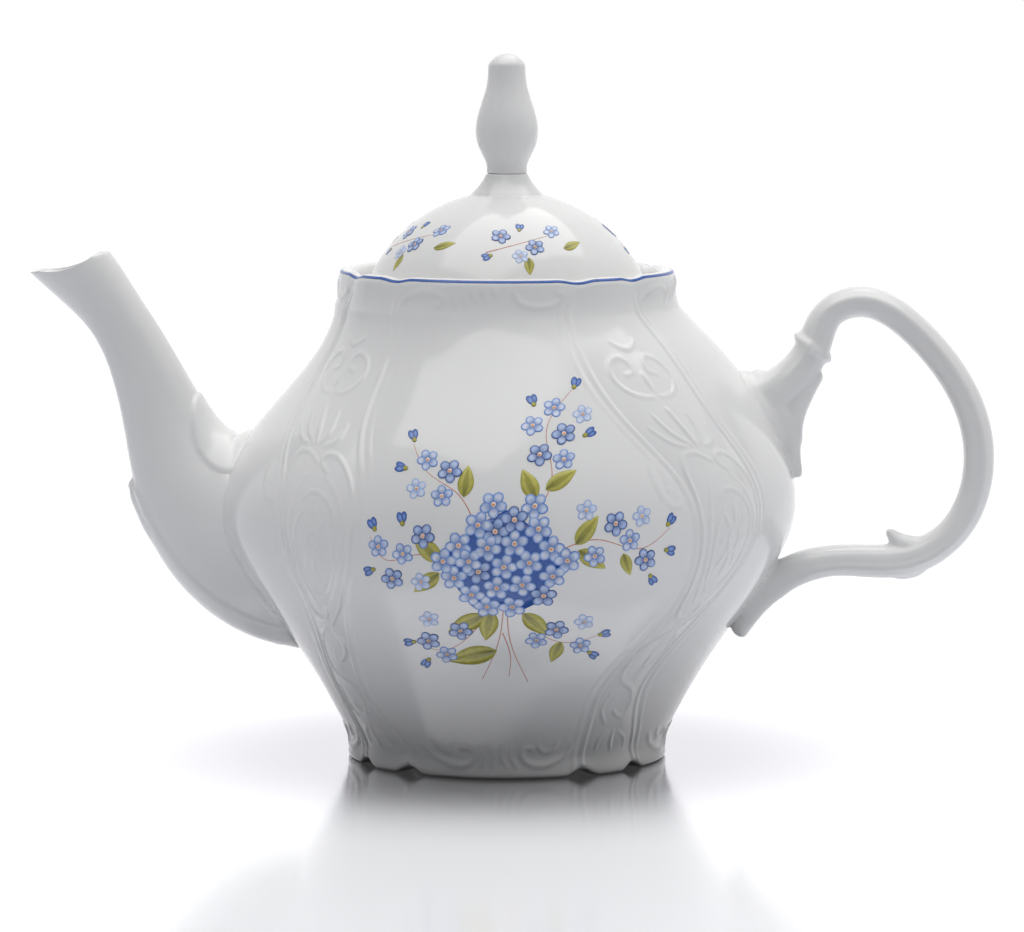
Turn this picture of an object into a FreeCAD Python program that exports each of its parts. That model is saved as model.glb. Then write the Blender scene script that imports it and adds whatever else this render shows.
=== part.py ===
import FreeCAD, Part

import math
import os

import Sketcher

# Porcelain teapot: a lobed pot with a gooseneck spout and a scroll handle, and a domed lid with a knob.
# Millimetres, +Z up. The origin is the centre of the foot, on the surface that the pot stands on.
# The spout points along -X and the handle along +X. Angles are in degrees.

SIZES = {
    # Pot, outside: radius at the crown of a lobe, and height, at each level of the form
    "foot_radius": 44.0,
    "foot_height": 6.0,
    "waist_radius": 43.4,
    "base_radius": 47.9,
    "base_height": 14.5,
    "flank_radius": 59.9,
    "flank_height": 34.0,
    "belly_radius": 79.0,
    "belly_height": 66.5,
    "upper_radius": 70.6,
    "upper_height": 92.0,
    "slope_radius": 54.0,
    "slope_height": 114.0,
    "collar_radius": 46.4,
    "shoulder_height": 124.5,
    "collar_height": 10.0,
    "rim_radius": 46.0,
    "upper_lean": 2.3,
    "slope_lean": 3.2,
    # Lobes: four wide panels and four narrow ones, which swing sideways at the belly
    "lobe_depth": 1.3,
    "lobe_turn": -4.0,
    "panel_half_angle": 31.0,
    "swing_angle": 13.0,
    # Pot, inside
    "wall": 3.0,
    "floor_thickness": 5.0,
    "collar_wall": 3.0,
    "ledge_drop": 6.0,
    "ledge_width": 4.6,
    "ledge_thickness": 3.6,
    # Foot and rim
    "foot_ring_width": 6.0,
    "foot_recess": 3.4,
    "arch_height": 1.4,
    "arch_width": 11.0,
    "dip_depth": 0.7,
    "dip_width": 12.0,
    # Strainer, drilled through the pot's wall inside the root of the spout
    "strainer_hole": 5.0,
    "strainer_circle": 20.0,
    "strainer_height": 60.0,
    # Spout: sections from the root to the lip. "out" is the way out from the pot's wall or belly
    "spout_wall": 2.8,
    "spout_root_height": 59.2,
    "spout_root_tall": 57.6,
    "spout_root_tilt": 102.6,
    "spout_root_sunk": 10.0,
    "spout_elbow_out": 8.7,
    "spout_elbow_height": 75.7,
    "spout_elbow_tilt": 51.0,
    "spout_elbow_tall": 35.0,
    "spout_throat_out": 15.1,
    "spout_throat_height": 91.9,
    "spout_throat_tilt": 25.0,
    "spout_throat_tall": 24.0,
    "spout_stem_out": 20.8,
    "spout_stem_height": 107.0,
    "spout_stem_tilt": 22.6,
    "spout_stem_tall": 18.8,
    "spout_neck_out": 30.9,
    "spout_neck_height": 124.7,
    "spout_neck_tilt": 34.8,
    "spout_neck_tall": 17.0,
    "spout_lip_out": 41.3,
    "spout_lip_height": 136.2,
    "spout_lip_tilt": 15.8,
    "spout_lip_tall": 22.4,
    "spout_flatness": 0.86,
    "spout_root_flatness": 0.72,
    # Keel leaf under the spout
    "keel_width": 14.0,
    "keel_depth": 7.0,
    "keel_inset": 3.2,
    "keel_bow": 4.4,
    "keel_tip_length": 12.4,
    "keel_tip_width": 5.0,
    "keel_knob": 5.6,
    # Handle: points of its centreline. "out" is the way out from the pot's wall or belly, and the root
    # starts below the wall's surface
    "handle_width": 11.6,
    "handle_thickness": 8.4,
    "handle_ridge": 0.75,
    "handle_root_depth": 10.0,
    "handle_root_height": 102.0,
    "handle_root_thickness": 15.0,
    "handle_neck_sag": 2.0,
    "handle_neck_thickness": 11.5,
    "handle_stem_out": 4.8,
    "handle_stem_height": 113.0,
    "handle_stem_thickness": 9.6,
    "handle_hip_out": 9.1,
    "handle_hip_height": 122.2,
    "handle_crest_out": 16.0,
    "handle_crest_height": 125.4,
    "handle_back_out": 34.0,
    "handle_back_height": 116.4,
    "handle_reach_out": 50.4,
    "handle_reach_height": 82.5,
    "handle_turn_out": 42.7,
    "handle_turn_height": 61.4,
    "handle_heel_out": 29.9,
    "handle_heel_height": 54.6,
    "handle_heel_thickness": 9.4,
    "handle_arm_out": 11.0,
    "handle_arm_height": 54.2,
    "handle_bend_out": 3.2,
    "handle_bend_height": 47.6,
    "handle_bend_thickness": 9.4,
    "handle_tail_out": 3.6,
    "handle_tail_height": 34.6,
    "handle_tail_thickness": 4.8,
    # Pad where the handle's root meets the pot, bead round its stem, leaf below, curl and knop on its heel
    "pad_drop": 6.0,
    "pad_length": 25.0,
    "pad_width": 17.0,
    "pad_rise": 3.2,
    "bead_thickness": 12.6,
    "bead_length": 5.0,
    "leaf_start_out": 3.6,
    "leaf_start_height": 106.0,
    "leaf_mid_out": 3.6,
    "leaf_mid_height": 90.0,
    "leaf_thickness": 6.8,
    "leaf_tip_out": 2.0,
    "leaf_tip_height": 78.0,
    "leaf_tip_thickness": 2.8,
    "curl_out": 26.6,
    "curl_height": 62.6,
    "curl_lift": 2.6,
    "curl_thickness": 5.0,
    "curl_tip_thickness": 1.6,
    "knop_thickness": 6.4,
    # Lid
    "seat_clearance": 0.6,
    "brim_thickness": 3.0,
    "skirt_depth": 9.0,
    "skirt_wall": 2.8,
    "dome_margin": 3.2,
    "dome_rise": 22.3,
    "dome_wall": 3.0,
    "crown_radius": 12.4,
    "neck_radius": 5.6,
    "neck_rise": 6.7,
    "neck_curve": 11.0,
    "vent_hole": 3.2,
    "vent_offset": 20.0,
    # Knob: heights from the lid's neck up
    "knob_foot_height": 1.2,
    "knob_throat_radius": 7.3,
    "knob_throat_height": 6.4,
    "knob_throat_curve": 12.0,
    "knob_bulb_radius": 7.5,
    "knob_bulb_height": 17.4,
    "knob_bulb_curve": 13.0,
    "knob_top_radius": 5.2,
    "knob_top_height": 27.0,
    "knob_taper_curve": 34.0,
    "knob_cap_rise": 5.6,
}

doc = FreeCAD.newDocument("teapot")
sheet = doc.addObject("Spreadsheet::Sheet", "Dims")
for row, (alias, number) in enumerate(SIZES.items(), start=1):
    sheet.set(f"A{row}", alias)
    sheet.set(f"B{row}", str(number))
    sheet.setAlias(f"B{row}", alias)
doc.recompute()

Z_AXIS = FreeCAD.Vector(0, 0, 1)
Y_AXIS = FreeCAD.Vector(0, 1, 0)
# The arcs of an oval meet at this share of its half sizes where it follows an ellipse
ELLIPSE_RIDGE = "0.7071"

# Levels that more than one piece needs, as expressions on the sheet
RIM_HEIGHT = "(Dims.shoulder_height + Dims.collar_height)"
LEDGE_HEIGHT = f"({RIM_HEIGHT} - Dims.ledge_drop)"
GALLERY_RADIUS = "(min(Dims.rim_radius; Dims.collar_radius) - Dims.lobe_depth - Dims.collar_wall)"
MOUTH_RADIUS = f"({GALLERY_RADIUS} - Dims.ledge_width)"
NECK_HEIGHT = f"({LEDGE_HEIGHT} + Dims.brim_thickness + Dims.dome_rise + Dims.neck_rise)"

# The pot's levels between the waist and the shoulder: name, height, radius, and lean towards the handle
LEVELS = [
    ("waist", "Dims.foot_height", "Dims.waist_radius", "0"),
    ("base", "Dims.base_height", "Dims.base_radius", "0"),
    ("flank", "Dims.flank_height", "Dims.flank_radius", "0"),
    ("belly", "Dims.belly_height", "Dims.belly_radius", "0"),
    ("upper", "Dims.upper_height", "Dims.upper_radius", "Dims.upper_lean"),
    ("slope", "Dims.slope_height", "Dims.slope_radius", "Dims.slope_lean"),
    ("shoulder", "Dims.shoulder_height", "Dims.collar_radius", "0"),
]


def size(expression):
    """The number that an expression on the sheet stands for."""
    return float(sheet.evalExpression(expression))


def wall_at(height, side):
    """X of the pot's wall in the XZ plane at a height, on the handle's side (1) or the spout's (-1)."""
    profile = Part.BSplineCurve()
    profile.interpolate([FreeCAD.Vector(side * size(r) + size(x), 0, size(z)) for _, z, r, x in LEVELS])
    low, high = profile.FirstParameter, profile.LastParameter
    for _ in range(40):
        middle = (low + high) / 2
        if profile.value(middle).z < height:
            low = middle
        else:
            high = middle
    return profile.value(low).x


def make_body(label):
    """An empty PartDesign body and its origin planes by role."""
    body = doc.addObject("PartDesign::Body", label)
    planes = {feature.Role: feature for feature in body.Origin.OriginFeatures}
    return body, planes


def make_sketch(body, plane, name, offset="0", shift="0"):
    """A sketch on one of the body's origin planes, moved along its normal and its X by expressions."""
    sketch = body.newObject("Sketcher::SketchObject", name)
    sketch.AttachmentSupport = [(plane, "")]
    sketch.MapMode = "FlatFace"
    sketch.setExpression("AttachmentOffset.Base.z", offset)
    sketch.setExpression("AttachmentOffset.Base.x", shift)
    return sketch


def bind(sketch, kind, *where, expression):
    """Adds a dimension to a sketch and ties it to an expression."""
    index = sketch.addConstraint(Sketcher.Constraint(kind, *where, size(expression)))
    sketch.setExpression(f"Constraints[{index}]", expression)


def pin_corner(sketch, edge, end, corner):
    """Ties a corner's two coordinates; a zero puts it on the sketch's own axis."""
    for expression, kind, axis in zip(corner, ("DistanceX", "DistanceY"), (-2, -1)):
        if expression == "0":
            sketch.addConstraint(Sketcher.Constraint("PointOnObject", edge, end, axis))
        else:
            bind(sketch, kind, edge, end, expression=expression)


def arc_radius(half_width, rise):
    """The radius of the arc with that half width and rise, as an expression."""
    return f"(({half_width})^2 + ({rise})^2) / (2 * ({rise}))"


def draw_outline(sketch, corners, bows):
    """Closes an outline of lines and arcs through corners, which are pairs of expressions.

    The bow of the edge that leaves a corner is None for a line, or (radius, side) for an arc. The arc bulges
    to the right of its direction where side is 1 and to the left where it is -1.
    """
    points = [FreeCAD.Vector(size(x), size(y), 0) for x, y in corners]
    edges = []
    for start, end, bow in zip(points, points[1:] + points[:1], bows):
        if bow is None:
            edges.append((sketch.addGeometry(Part.LineSegment(start, end)), 1, 2))
            continue
        radius, side = size(bow[0]), bow[1]
        chord = end - start
        sagitta = radius - math.sqrt(radius**2 - chord.Length**2 / 4)
        right = FreeCAD.Vector(chord.y, -chord.x, 0).normalize()
        arc = Part.Arc(start, (start + end) / 2 + right * sagitta * side, end)
        # A sketch keeps its arcs anticlockwise, so one that bulges to the left starts at its far end
        first, last = (1, 2) if side == 1 else (2, 1)
        edges.append((sketch.addGeometry(arc), first, last))
    for (edge, _, last), (following, first, _) in zip(edges, edges[1:] + edges[:1]):
        sketch.addConstraint(Sketcher.Constraint("Coincident", edge, last, following, first))
    for (edge, first, _), corner, bow in zip(edges, corners, bows):
        pin_corner(sketch, edge, first, corner)
        if bow is not None:
            bind(sketch, "Radius", edge, expression=bow[0])


def draw_circle(sketch, x, y, radius):
    """A circle whose centre and radius are expressions."""
    centre = FreeCAD.Vector(size(x), size(y), 0)
    circle = sketch.addGeometry(Part.Circle(centre, Z_AXIS, size(radius)))
    pin_corner(sketch, circle, 3, (x, y))
    bind(sketch, "Radius", circle, expression=radius)


def draw_lobes(sketch, radius, turn):
    """The pot's plan at one level: wide and narrow lobes that meet in eight creases, turned by an angle."""
    crease = f"({radius} - Dims.lobe_depth)"
    half_angles = ["Dims.panel_half_angle", "(45 - Dims.panel_half_angle)"]
    corners, bows = [], []
    for quarter in range(4):
        for half_angle, side in zip(half_angles, (-1, 1)):
            angle = f"({90 * quarter} + Dims.lobe_turn + {turn} + {side} * Dims.panel_half_angle)"
            corners.append((f"{crease} * cos{angle}", f"{crease} * sin{angle}"))
            half_chord = f"{crease} * sin({half_angle})"
            bows.append((arc_radius(half_chord, f"{radius} - {crease} * cos({half_angle})"), 1))
    draw_outline(sketch, corners, bows)


def loft_through(body, kind, name, sketches, ruled=False):
    """A loft of the body through sketches, from the first to the last."""
    loft = body.newObject(f"PartDesign::{kind}", name)
    loft.Profile = sketches[0]
    loft.Sections = [(sketch, [""]) for sketch in sketches[1:]]
    loft.Ruled = ruled
    doc.recompute()
    return loft


def cut_pocket(body, name, sketch, depth=None, along_normal=True):
    """A pocket to one side of a sketch, through everything on that side where it has no depth."""
    before = body.Shape.Volume
    pocket = body.newObject("PartDesign::Pocket", name)
    pocket.Profile = sketch
    pocket.Reversed = along_normal
    if depth is None:
        pocket.Type = "ThroughAll"
    else:
        pocket.Type = "Length"
        pocket.setExpression("Length", depth)
    doc.recompute()
    if not body.Shape.Volume < before:
        raise ValueError(f"{name} cuts nothing")


def turned_section(level, height):
    """How far the lobes are turned at a height: none at the waist and the shoulder, most at the belly."""
    share = f"({height} - Dims.foot_height) / (Dims.shoulder_height - Dims.foot_height)"
    return "0" if level in ("waist", "shoulder") else f"Dims.swing_angle * sin(180 * {share})"


def make_pot_form():
    """The pot's outside as a solid form: foot, belly and collar."""
    form, planes = make_body("pot_form")
    plan = planes["XY_Plane"]
    belly = []
    for level, height, radius, lean in LEVELS:
        sketch = make_sketch(form, plan, f"plan_{level}", height, lean)
        draw_lobes(sketch, radius, turned_section(level, height))
        belly.append(sketch)
    foot = make_sketch(form, plan, "plan_foot")
    draw_lobes(foot, "Dims.foot_radius", "0")
    rim = make_sketch(form, plan, "plan_rim", RIM_HEIGHT)
    draw_lobes(rim, "Dims.rim_radius", "0")
    doc.recompute()
    loft_through(form, "AdditiveLoft", "foot_loft", [foot, belly[0]], ruled=True)
    loft_through(form, "AdditiveLoft", "belly_loft", belly)
    loft_through(form, "AdditiveLoft", "collar_loft", [belly[-1], rim], ruled=True)
    return form


def cut_across(name, base, edge, radius, side):
    """Cuts shallow round notches over the eight creases of the foot or the rim, as deep as the height edge.

    A bar through the axis reaches two opposite creases. side is -1 where the bars lie below that height.
    """
    reach = "2 * Dims.belly_radius"
    bars = []
    for quarter in range(2):
        for crease in (-1, 1):
            bar = doc.addObject("Part::Cylinder", f"{name}_bar")
            bar.setExpression("Radius", radius)
            bar.setExpression("Height", reach)
            angle = size(f"{90 * quarter} + Dims.lobe_turn + {crease} * Dims.panel_half_angle")
            spin = FreeCAD.Rotation(Z_AXIS, angle)
            start = spin.multVec(FreeCAD.Vector(-size(reach) / 2, 0, 0))
            start.z = size(edge) + side * size(radius)
            bar.Placement = FreeCAD.Placement(start, spin * FreeCAD.Rotation(Y_AXIS, 90))
            bars.append(bar)
    return cut_away(name, base, fuse_all(f"{name}_bars", bars))


def make_pot_body(form):
    """The pot itself: the form hollowed out, with the lid's gallery, the foot's ring and the strainer."""
    pot, planes = make_body("pot_hollow")
    pot.BaseFeature = form
    plan = planes["XY_Plane"]

    cavity = []
    inside = [("floor", "(Dims.floor_thickness + Dims.foot_recess)", "Dims.waist_radius", "0")]
    inside += [level for level in LEVELS if level[0] not in ("waist", "shoulder")]
    for level, height, radius, lean in inside:
        sketch = make_sketch(pot, plan, f"inside_{level}", height, lean)
        draw_circle(sketch, "0", "0", f"({radius} - Dims.lobe_depth - Dims.wall)")
        cavity.append(sketch)
    mouth_level = f"({LEDGE_HEIGHT} - Dims.ledge_thickness)"
    mouth = make_sketch(pot, plan, "inside_mouth", mouth_level)
    draw_circle(mouth, "0", "0", MOUTH_RADIUS)
    doc.recompute()
    loft_through(pot, "SubtractiveLoft", "cavity", cavity + [mouth], ruled=True)
    cut_pocket(pot, "mouth_opening", mouth)

    gallery = make_sketch(pot, plan, "gallery_outline", LEDGE_HEIGHT)
    draw_circle(gallery, "0", "0", GALLERY_RADIUS)
    cut_pocket(pot, "gallery", gallery)

    recess = make_sketch(pot, plan, "recess_outline")
    draw_circle(recess, "0", "0", "Dims.foot_radius - Dims.lobe_depth - Dims.foot_ring_width")
    cut_pocket(pot, "foot_recess", recess, "Dims.foot_recess")

    strainer = make_sketch(pot, planes["YZ_Plane"], "strainer_holes")
    ring = "Dims.strainer_circle / 2"
    spots = [("0", "Dims.strainer_height")]
    for sixth in range(6):
        angle = f"({30 + 60 * sixth})"
        spots.append((f"{ring} * cos{angle}", f"Dims.strainer_height + {ring} * sin{angle}"))
    for across, height in spots:
        draw_circle(strainer, across, height, "Dims.strainer_hole / 2")
    cut_pocket(pot, "strainer", strainer, along_normal=False)

    arch = arc_radius("Dims.arch_width / 2", "Dims.arch_height")
    arched = cut_across("arched_foot", pot, "Dims.arch_height", arch, -1)
    dip = arc_radius("Dims.dip_width / 2", "Dims.dip_depth")
    return cut_across("pot_body", arched, f"{RIM_HEIGHT} - Dims.dip_depth", dip, 1)


def draw_oval(sketch, tall, wide, ridge):
    """An oval of four arcs, tall along the sketch's X and wide along its Y.

    The arcs meet at a share of the two half sizes, which is the ridge.
    """
    half_tall, half_wide = f"({tall} / 2)", f"({wide} / 2)"
    corners, bows = [], []
    for x_side, y_side in ((1, -1), (1, 1), (-1, 1), (-1, -1)):
        corners.append((f"{x_side} * {ridge} * {half_tall}", f"{y_side} * {ridge} * {half_wide}"))
    for along, across in ((half_wide, half_tall), (half_tall, half_wide)) * 2:
        bows.append((arc_radius(f"{ridge} * {along}", f"(1 - {ridge}) * {across}"), 1))
    draw_outline(sketch, corners, bows)


def across(direction):
    """The turn that sets a local Z along a direction in the XZ plane and keeps Y."""
    return FreeCAD.Rotation(Y_AXIS.cross(direction), Y_AXIS, direction, "ZXY")


def loft_ovals(label, ovals, ridge):
    """A body in the XZ plane through ovals, each of which is (centre, direction, tall, wide)."""
    body, _ = make_body(label)
    sections = []
    for index, (centre, direction, tall, wide) in enumerate(ovals):
        section = body.newObject("Sketcher::SketchObject", f"{label}_section_{index}")
        section.Placement = FreeCAD.Placement(centre, across(direction))
        draw_oval(section, tall, wide, ridge)
        sections.append(section)
    doc.recompute()
    loft_through(body, "AdditiveLoft", f"{label}_loft", sections)
    return body


def fuse_all(name, shapes):
    """One solid of several."""
    fuse = doc.addObject("Part::MultiFuse", name)
    fuse.Shapes = shapes
    doc.recompute()
    return fuse


def cut_away(name, base, tool):
    """What is left of the base outside the tool."""
    cut = doc.addObject("Part::Cut", name)
    cut.Base = base
    cut.Tool = tool
    doc.recompute()
    return cut


def ovals_along(places, thick, wide):
    """Ovals across the smooth curve through the places, at each one and half way between, from size names."""
    curve = Part.BSplineCurve()
    curve.interpolate(places)
    stops = [curve.parameter(place) for place in places]
    ovals = []
    for index, stop in enumerate(stops):
        tall, broad = f"Dims.{thick[index]}", f"Dims.{wide[index]}"
        if index:
            mean_tall = f"((Dims.{thick[index - 1]} + {tall}) / 2)"
            mean_broad = f"((Dims.{wide[index - 1]} + {broad}) / 2)"
            ovals.append(oval_at(curve, (stops[index - 1] + stop) / 2, mean_tall, mean_broad))
        ovals.append(oval_at(curve, stop, tall, broad))
    return ovals


def oval_at(curve, stop, tall, broad):
    """An oval across a curve at one of its parameters."""
    return curve.value(stop), FreeCAD.Vector(*curve.tangent(stop)[0]), tall, broad


def heading(tilt):
    """The direction in the XZ plane that leans from straight up towards -X by an angle."""
    return FreeCAD.Vector(-math.sin(math.radians(tilt)), 0, math.cos(math.radians(tilt)))


def spout_places():
    """The spout's sections: name, centre and direction, from the root to the lip."""
    root_height = size("Dims.spout_root_height")
    root_x = wall_at(root_height, -1) + size("Dims.spout_root_sunk")
    places = [("root", FreeCAD.Vector(root_x, 0, root_height))]
    for level in ("elbow", "throat", "stem", "neck", "lip"):
        x = -size(f"Dims.belly_radius + Dims.spout_{level}_out")
        places.append((level, FreeCAD.Vector(x, 0, size(f"Dims.spout_{level}_height"))))
    return [(level, centre, heading(size(f"Dims.spout_{level}_tilt"))) for level, centre in places]


def spout_ovals(thinner):
    """The spout's ovals from inside the pot to the lip, with both walls taken off where asked."""
    ovals = []
    for level, centre, direction in spout_places():
        flatness = "Dims.spout_root_flatness" if level == "root" else "Dims.spout_flatness"
        tall = f"(Dims.spout_{level}_tall{thinner})"
        wide = f"(Dims.spout_{level}_tall * {flatness}{thinner})"
        if level == "root":
            ovals.append((centre - direction * size("Dims.spout_root_sunk"), direction, tall, wide))
        ovals.append((centre, direction, tall, wide))
        if level == "lip" and thinner:
            ovals.append((centre + direction * size("Dims.spout_wall"), direction, tall, wide))
    return ovals


def make_keel():
    """The leaf along the spout's underside, which ends in a small knob between the elbow and the throat."""
    edge, low = {}, {}
    for level, centre, direction in spout_places()[:3]:
        down = Y_AXIS.cross(direction) * -1
        edge[level] = centre + down * size(f"Dims.spout_{level}_tall / 2")
        low[level] = edge[level] - down * size("Dims.keel_inset")
    chord = low["elbow"] - low["root"]
    outward = FreeCAD.Vector(-chord.z, 0, chord.x).normalize()
    middle = (low["root"] + low["elbow"]) / 2 + outward * size("Dims.keel_bow")
    onward = (edge["throat"] - edge["elbow"]).normalize()
    tip = edge["elbow"] + onward * size("Dims.keel_tip_length")
    path = [low["root"], middle, low["elbow"], tip]
    deep = ["keel_depth"] * 3 + ["keel_tip_width"]
    wide = ["keel_width"] * 3 + ["keel_tip_width"]
    keel = loft_ovals("keel", ovals_along(path, deep, wide), ELLIPSE_RIDGE)
    knob = doc.addObject("Part::Sphere", "keel_knob")
    knob.setExpression("Radius", "Dims.keel_knob / 2")
    knob.Placement.Base = tip
    return [keel, knob]


def make_spout(form):
    """The gooseneck spout: an open tube with a keel leaf underneath, shaped to the pot where it joins it."""
    outside = loft_ovals("spout_outside", spout_ovals(""), ELLIPSE_RIDGE)
    bore = loft_ovals("spout_bore", spout_ovals(" - 2 * Dims.spout_wall"), ELLIPSE_RIDGE)
    leafed = fuse_all("spout_leafed", [outside] + make_keel())
    return cut_away("spout", cut_away("spout_tube", leafed, bore), form)


def make_ellipsoid(name, centre, along, halves):
    """An ellipsoid in the XZ plane: half sizes along a direction, square to it in the plane, and along Y."""
    ellipsoid = doc.addObject("Part::Ellipsoid", name)
    for number, half in enumerate(halves, start=1):
        ellipsoid.setExpression(f"Radius{number}", half)
    ellipsoid.Placement = FreeCAD.Placement(centre, across(along))
    return ellipsoid


def wall_point(height):
    """The point of the pot's wall on the handle's side at a height."""
    return FreeCAD.Vector(wall_at(size(height), 1), 0, size(height))


def up_the_wall(height):
    """The direction that runs up the pot's wall on the handle's side at a height."""
    return (wall_point(f"{height} + 0.5") - wall_point(f"{height} - 0.5")).normalize()


def beside(name):
    """A point of the handle in the XZ plane, from its height and its way out from the pot's wall or belly."""
    height = size(f"Dims.{name}_height")
    by_wall = name in ("handle_bend", "handle_tail", "leaf_mid", "leaf_tip")
    start = wall_at(height, 1) if by_wall else size("Dims.belly_radius")
    return FreeCAD.Vector(start + size(f"Dims.{name}_out"), 0, height)


def make_handle(form):
    """The scroll handle: a loop of ridged oval section with bead, leaf, curl and knop, shaped to the pot."""
    levels = ["root", "neck", "stem", "hip", "crest", "back", "reach", "turn", "heel", "arm", "bend", "tail"]
    own = ("root", "neck", "stem", "heel", "bend", "tail")
    thick = [f"handle_{level}_thickness" if level in own else "handle_thickness" for level in levels]
    outward = Y_AXIS.cross(up_the_wall("Dims.handle_root_height"))
    root = wall_point("Dims.handle_root_height") - outward * size("Dims.handle_root_depth")
    stem = beside("handle_stem")
    neck = (root + stem) / 2 - Z_AXIS * size("Dims.handle_neck_sag")
    places = [root, neck] + [beside(f"handle_{level}") for level in levels[2:]]
    ovals = ovals_along(places, thick, ["handle_width"] * len(levels))
    loop = loft_ovals("handle_loop", ovals, "Dims.handle_ridge")

    bead_width = "(Dims.bead_thickness + Dims.handle_width - Dims.handle_stem_thickness)"
    bead_halves = ("Dims.bead_length / 2", "Dims.bead_thickness / 2", f"{bead_width} / 2")
    bead = make_ellipsoid("handle_bead", stem, ovals[4][1], bead_halves)

    pad_height = "Dims.handle_root_height - Dims.pad_drop"
    pad_halves = ("Dims.pad_length / 2", "Dims.pad_rise", "Dims.pad_width / 2")
    pad = make_ellipsoid("handle_pad", wall_point(pad_height), up_the_wall(pad_height), pad_halves)

    hanging = [beside("leaf_start"), beside("leaf_mid"), beside("leaf_tip")]
    leaf_thick = ["leaf_thickness", "leaf_thickness", "leaf_tip_thickness"]
    leaf = loft_ovals("handle_leaf", ovals_along(hanging, leaf_thick, leaf_thick), ELLIPSE_RIDGE)

    heel, turn = places[levels.index("heel")], places[levels.index("turn")]
    curling = [turn, heel + Z_AXIS * size("Dims.curl_lift"), beside("curl")]
    curl_thick = ["curl_thickness", "curl_thickness", "curl_tip_thickness"]
    curl = loft_ovals("handle_curl", ovals_along(curling, curl_thick, curl_thick), ELLIPSE_RIDGE)

    knop = doc.addObject("Part::Sphere", "handle_knop")
    knop.setExpression("Radius", "Dims.knop_thickness / 2")
    knop.Placement.Base = heel - Z_AXIS * size("(Dims.handle_heel_thickness - Dims.knop_thickness / 2) / 2")
    return cut_away("handle", fuse_all("handle_dressed", [loop, bead, pad, leaf, curl, knop]), form)


def revolve(body, planes, name, corners, bows):
    """A solid of revolution about Z from an outline in the XZ plane."""
    sketch = make_sketch(body, planes["XZ_Plane"], f"{name}_outline")
    draw_outline(sketch, corners, bows)
    doc.recompute()
    turned = body.newObject("PartDesign::Revolution", name)
    turned.Profile = sketch
    turned.ReferenceAxis = (sketch, ["V_Axis"])
    turned.Angle = 360
    doc.recompute()
    return turned


def make_lid():
    """The lid: a brim that sits on the pot's ledge, a skirt inside the mouth, and a dome with a vent."""
    lid, planes = make_body("lid")
    brim_radius = f"({GALLERY_RADIUS} - Dims.seat_clearance)"
    skirt_radius = f"({MOUTH_RADIUS} - Dims.seat_clearance)"
    skirt_inside = f"({skirt_radius} - Dims.skirt_wall)"
    brim_top = f"({LEDGE_HEIGHT} + Dims.brim_thickness)"
    dome_foot = f"({brim_radius} - Dims.dome_margin)"
    crown_height = f"({brim_top} + Dims.dome_rise)"
    corners = [
        ("0", f"{crown_height} - Dims.dome_wall"),
        (skirt_inside, LEDGE_HEIGHT),
        (skirt_inside, f"{LEDGE_HEIGHT} - Dims.skirt_depth"),
        (skirt_radius, f"{LEDGE_HEIGHT} - Dims.skirt_depth"),
        (skirt_radius, LEDGE_HEIGHT),
        (brim_radius, LEDGE_HEIGHT),
        (brim_radius, brim_top),
        (dome_foot, brim_top),
        ("Dims.crown_radius", crown_height),
        ("Dims.neck_radius", NECK_HEIGHT),
        ("0", NECK_HEIGHT),
    ]
    bows = [None] * len(corners)
    bows[0] = (arc_radius(skirt_inside, f"{crown_height} - Dims.dome_wall - {LEDGE_HEIGHT}"), -1)
    # The dome's outside is part of a sphere about the axis, whose centre lies this far below the brim's top
    sunk = f"(({dome_foot}^2 - Dims.crown_radius^2 - Dims.dome_rise^2) / (2 * Dims.dome_rise))"
    bows[7] = (f"sqrt({dome_foot}^2 + {sunk}^2)", 1)
    bows[8] = ("Dims.neck_curve", -1)
    revolve(lid, planes, "lid_turned", corners, bows)
    vent = make_sketch(lid, planes["XY_Plane"], "vent_outline")
    draw_circle(vent, "0", "Dims.vent_offset", "Dims.vent_hole / 2")
    cut_pocket(lid, "vent", vent)
    return lid


def make_knob():
    """The knob: a slender baluster that is joined to the lid's neck."""
    knob, planes = make_body("lid_knob")
    corners = [("0", NECK_HEIGHT), ("Dims.neck_radius", NECK_HEIGHT)]
    corners.append(("Dims.neck_radius", f"{NECK_HEIGHT} + Dims.knob_foot_height"))
    for level in ("throat", "bulb", "top"):
        corners.append((f"Dims.knob_{level}_radius", f"{NECK_HEIGHT} + Dims.knob_{level}_height"))
    corners.append(("0", f"{NECK_HEIGHT} + Dims.knob_top_height + Dims.knob_cap_rise"))
    curves = [("throat", -1), ("bulb", 1), ("taper", -1)]
    bows = [None, None] + [(f"Dims.knob_{curve}_curve", side) for curve, side in curves]
    bows += [(arc_radius("Dims.knob_top_radius", "Dims.knob_cap_rise"), 1), None]
    revolve(knob, planes, "knob_turned", corners, bows)
    return knob


pot_form = make_pot_form()
pieces = [make_pot_body(pot_form), make_spout(pot_form), make_handle(pot_form), make_lid(), make_knob()]
doc.recompute()

for thing in doc.Objects:
    if "Invalid" in thing.State or "Error" in thing.State:
        raise RuntimeError(f"{thing.Label} did not build: {thing.getStatusString()}")
os.makedirs("parts", exist_ok=True)
for piece in pieces:
    if piece.Shape.isNull() or not piece.Shape.isValid():
        raise RuntimeError(f"{piece.Label} has no valid shape")
    print(f"{piece.Label}: {len(piece.Shape.Solids)} solid, {piece.Shape.Volume / 1000:.1f} cm3")
for piece in pieces:
    piece.Shape.exportStep(f"parts/{piece.Label}.step")
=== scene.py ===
import math

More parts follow.
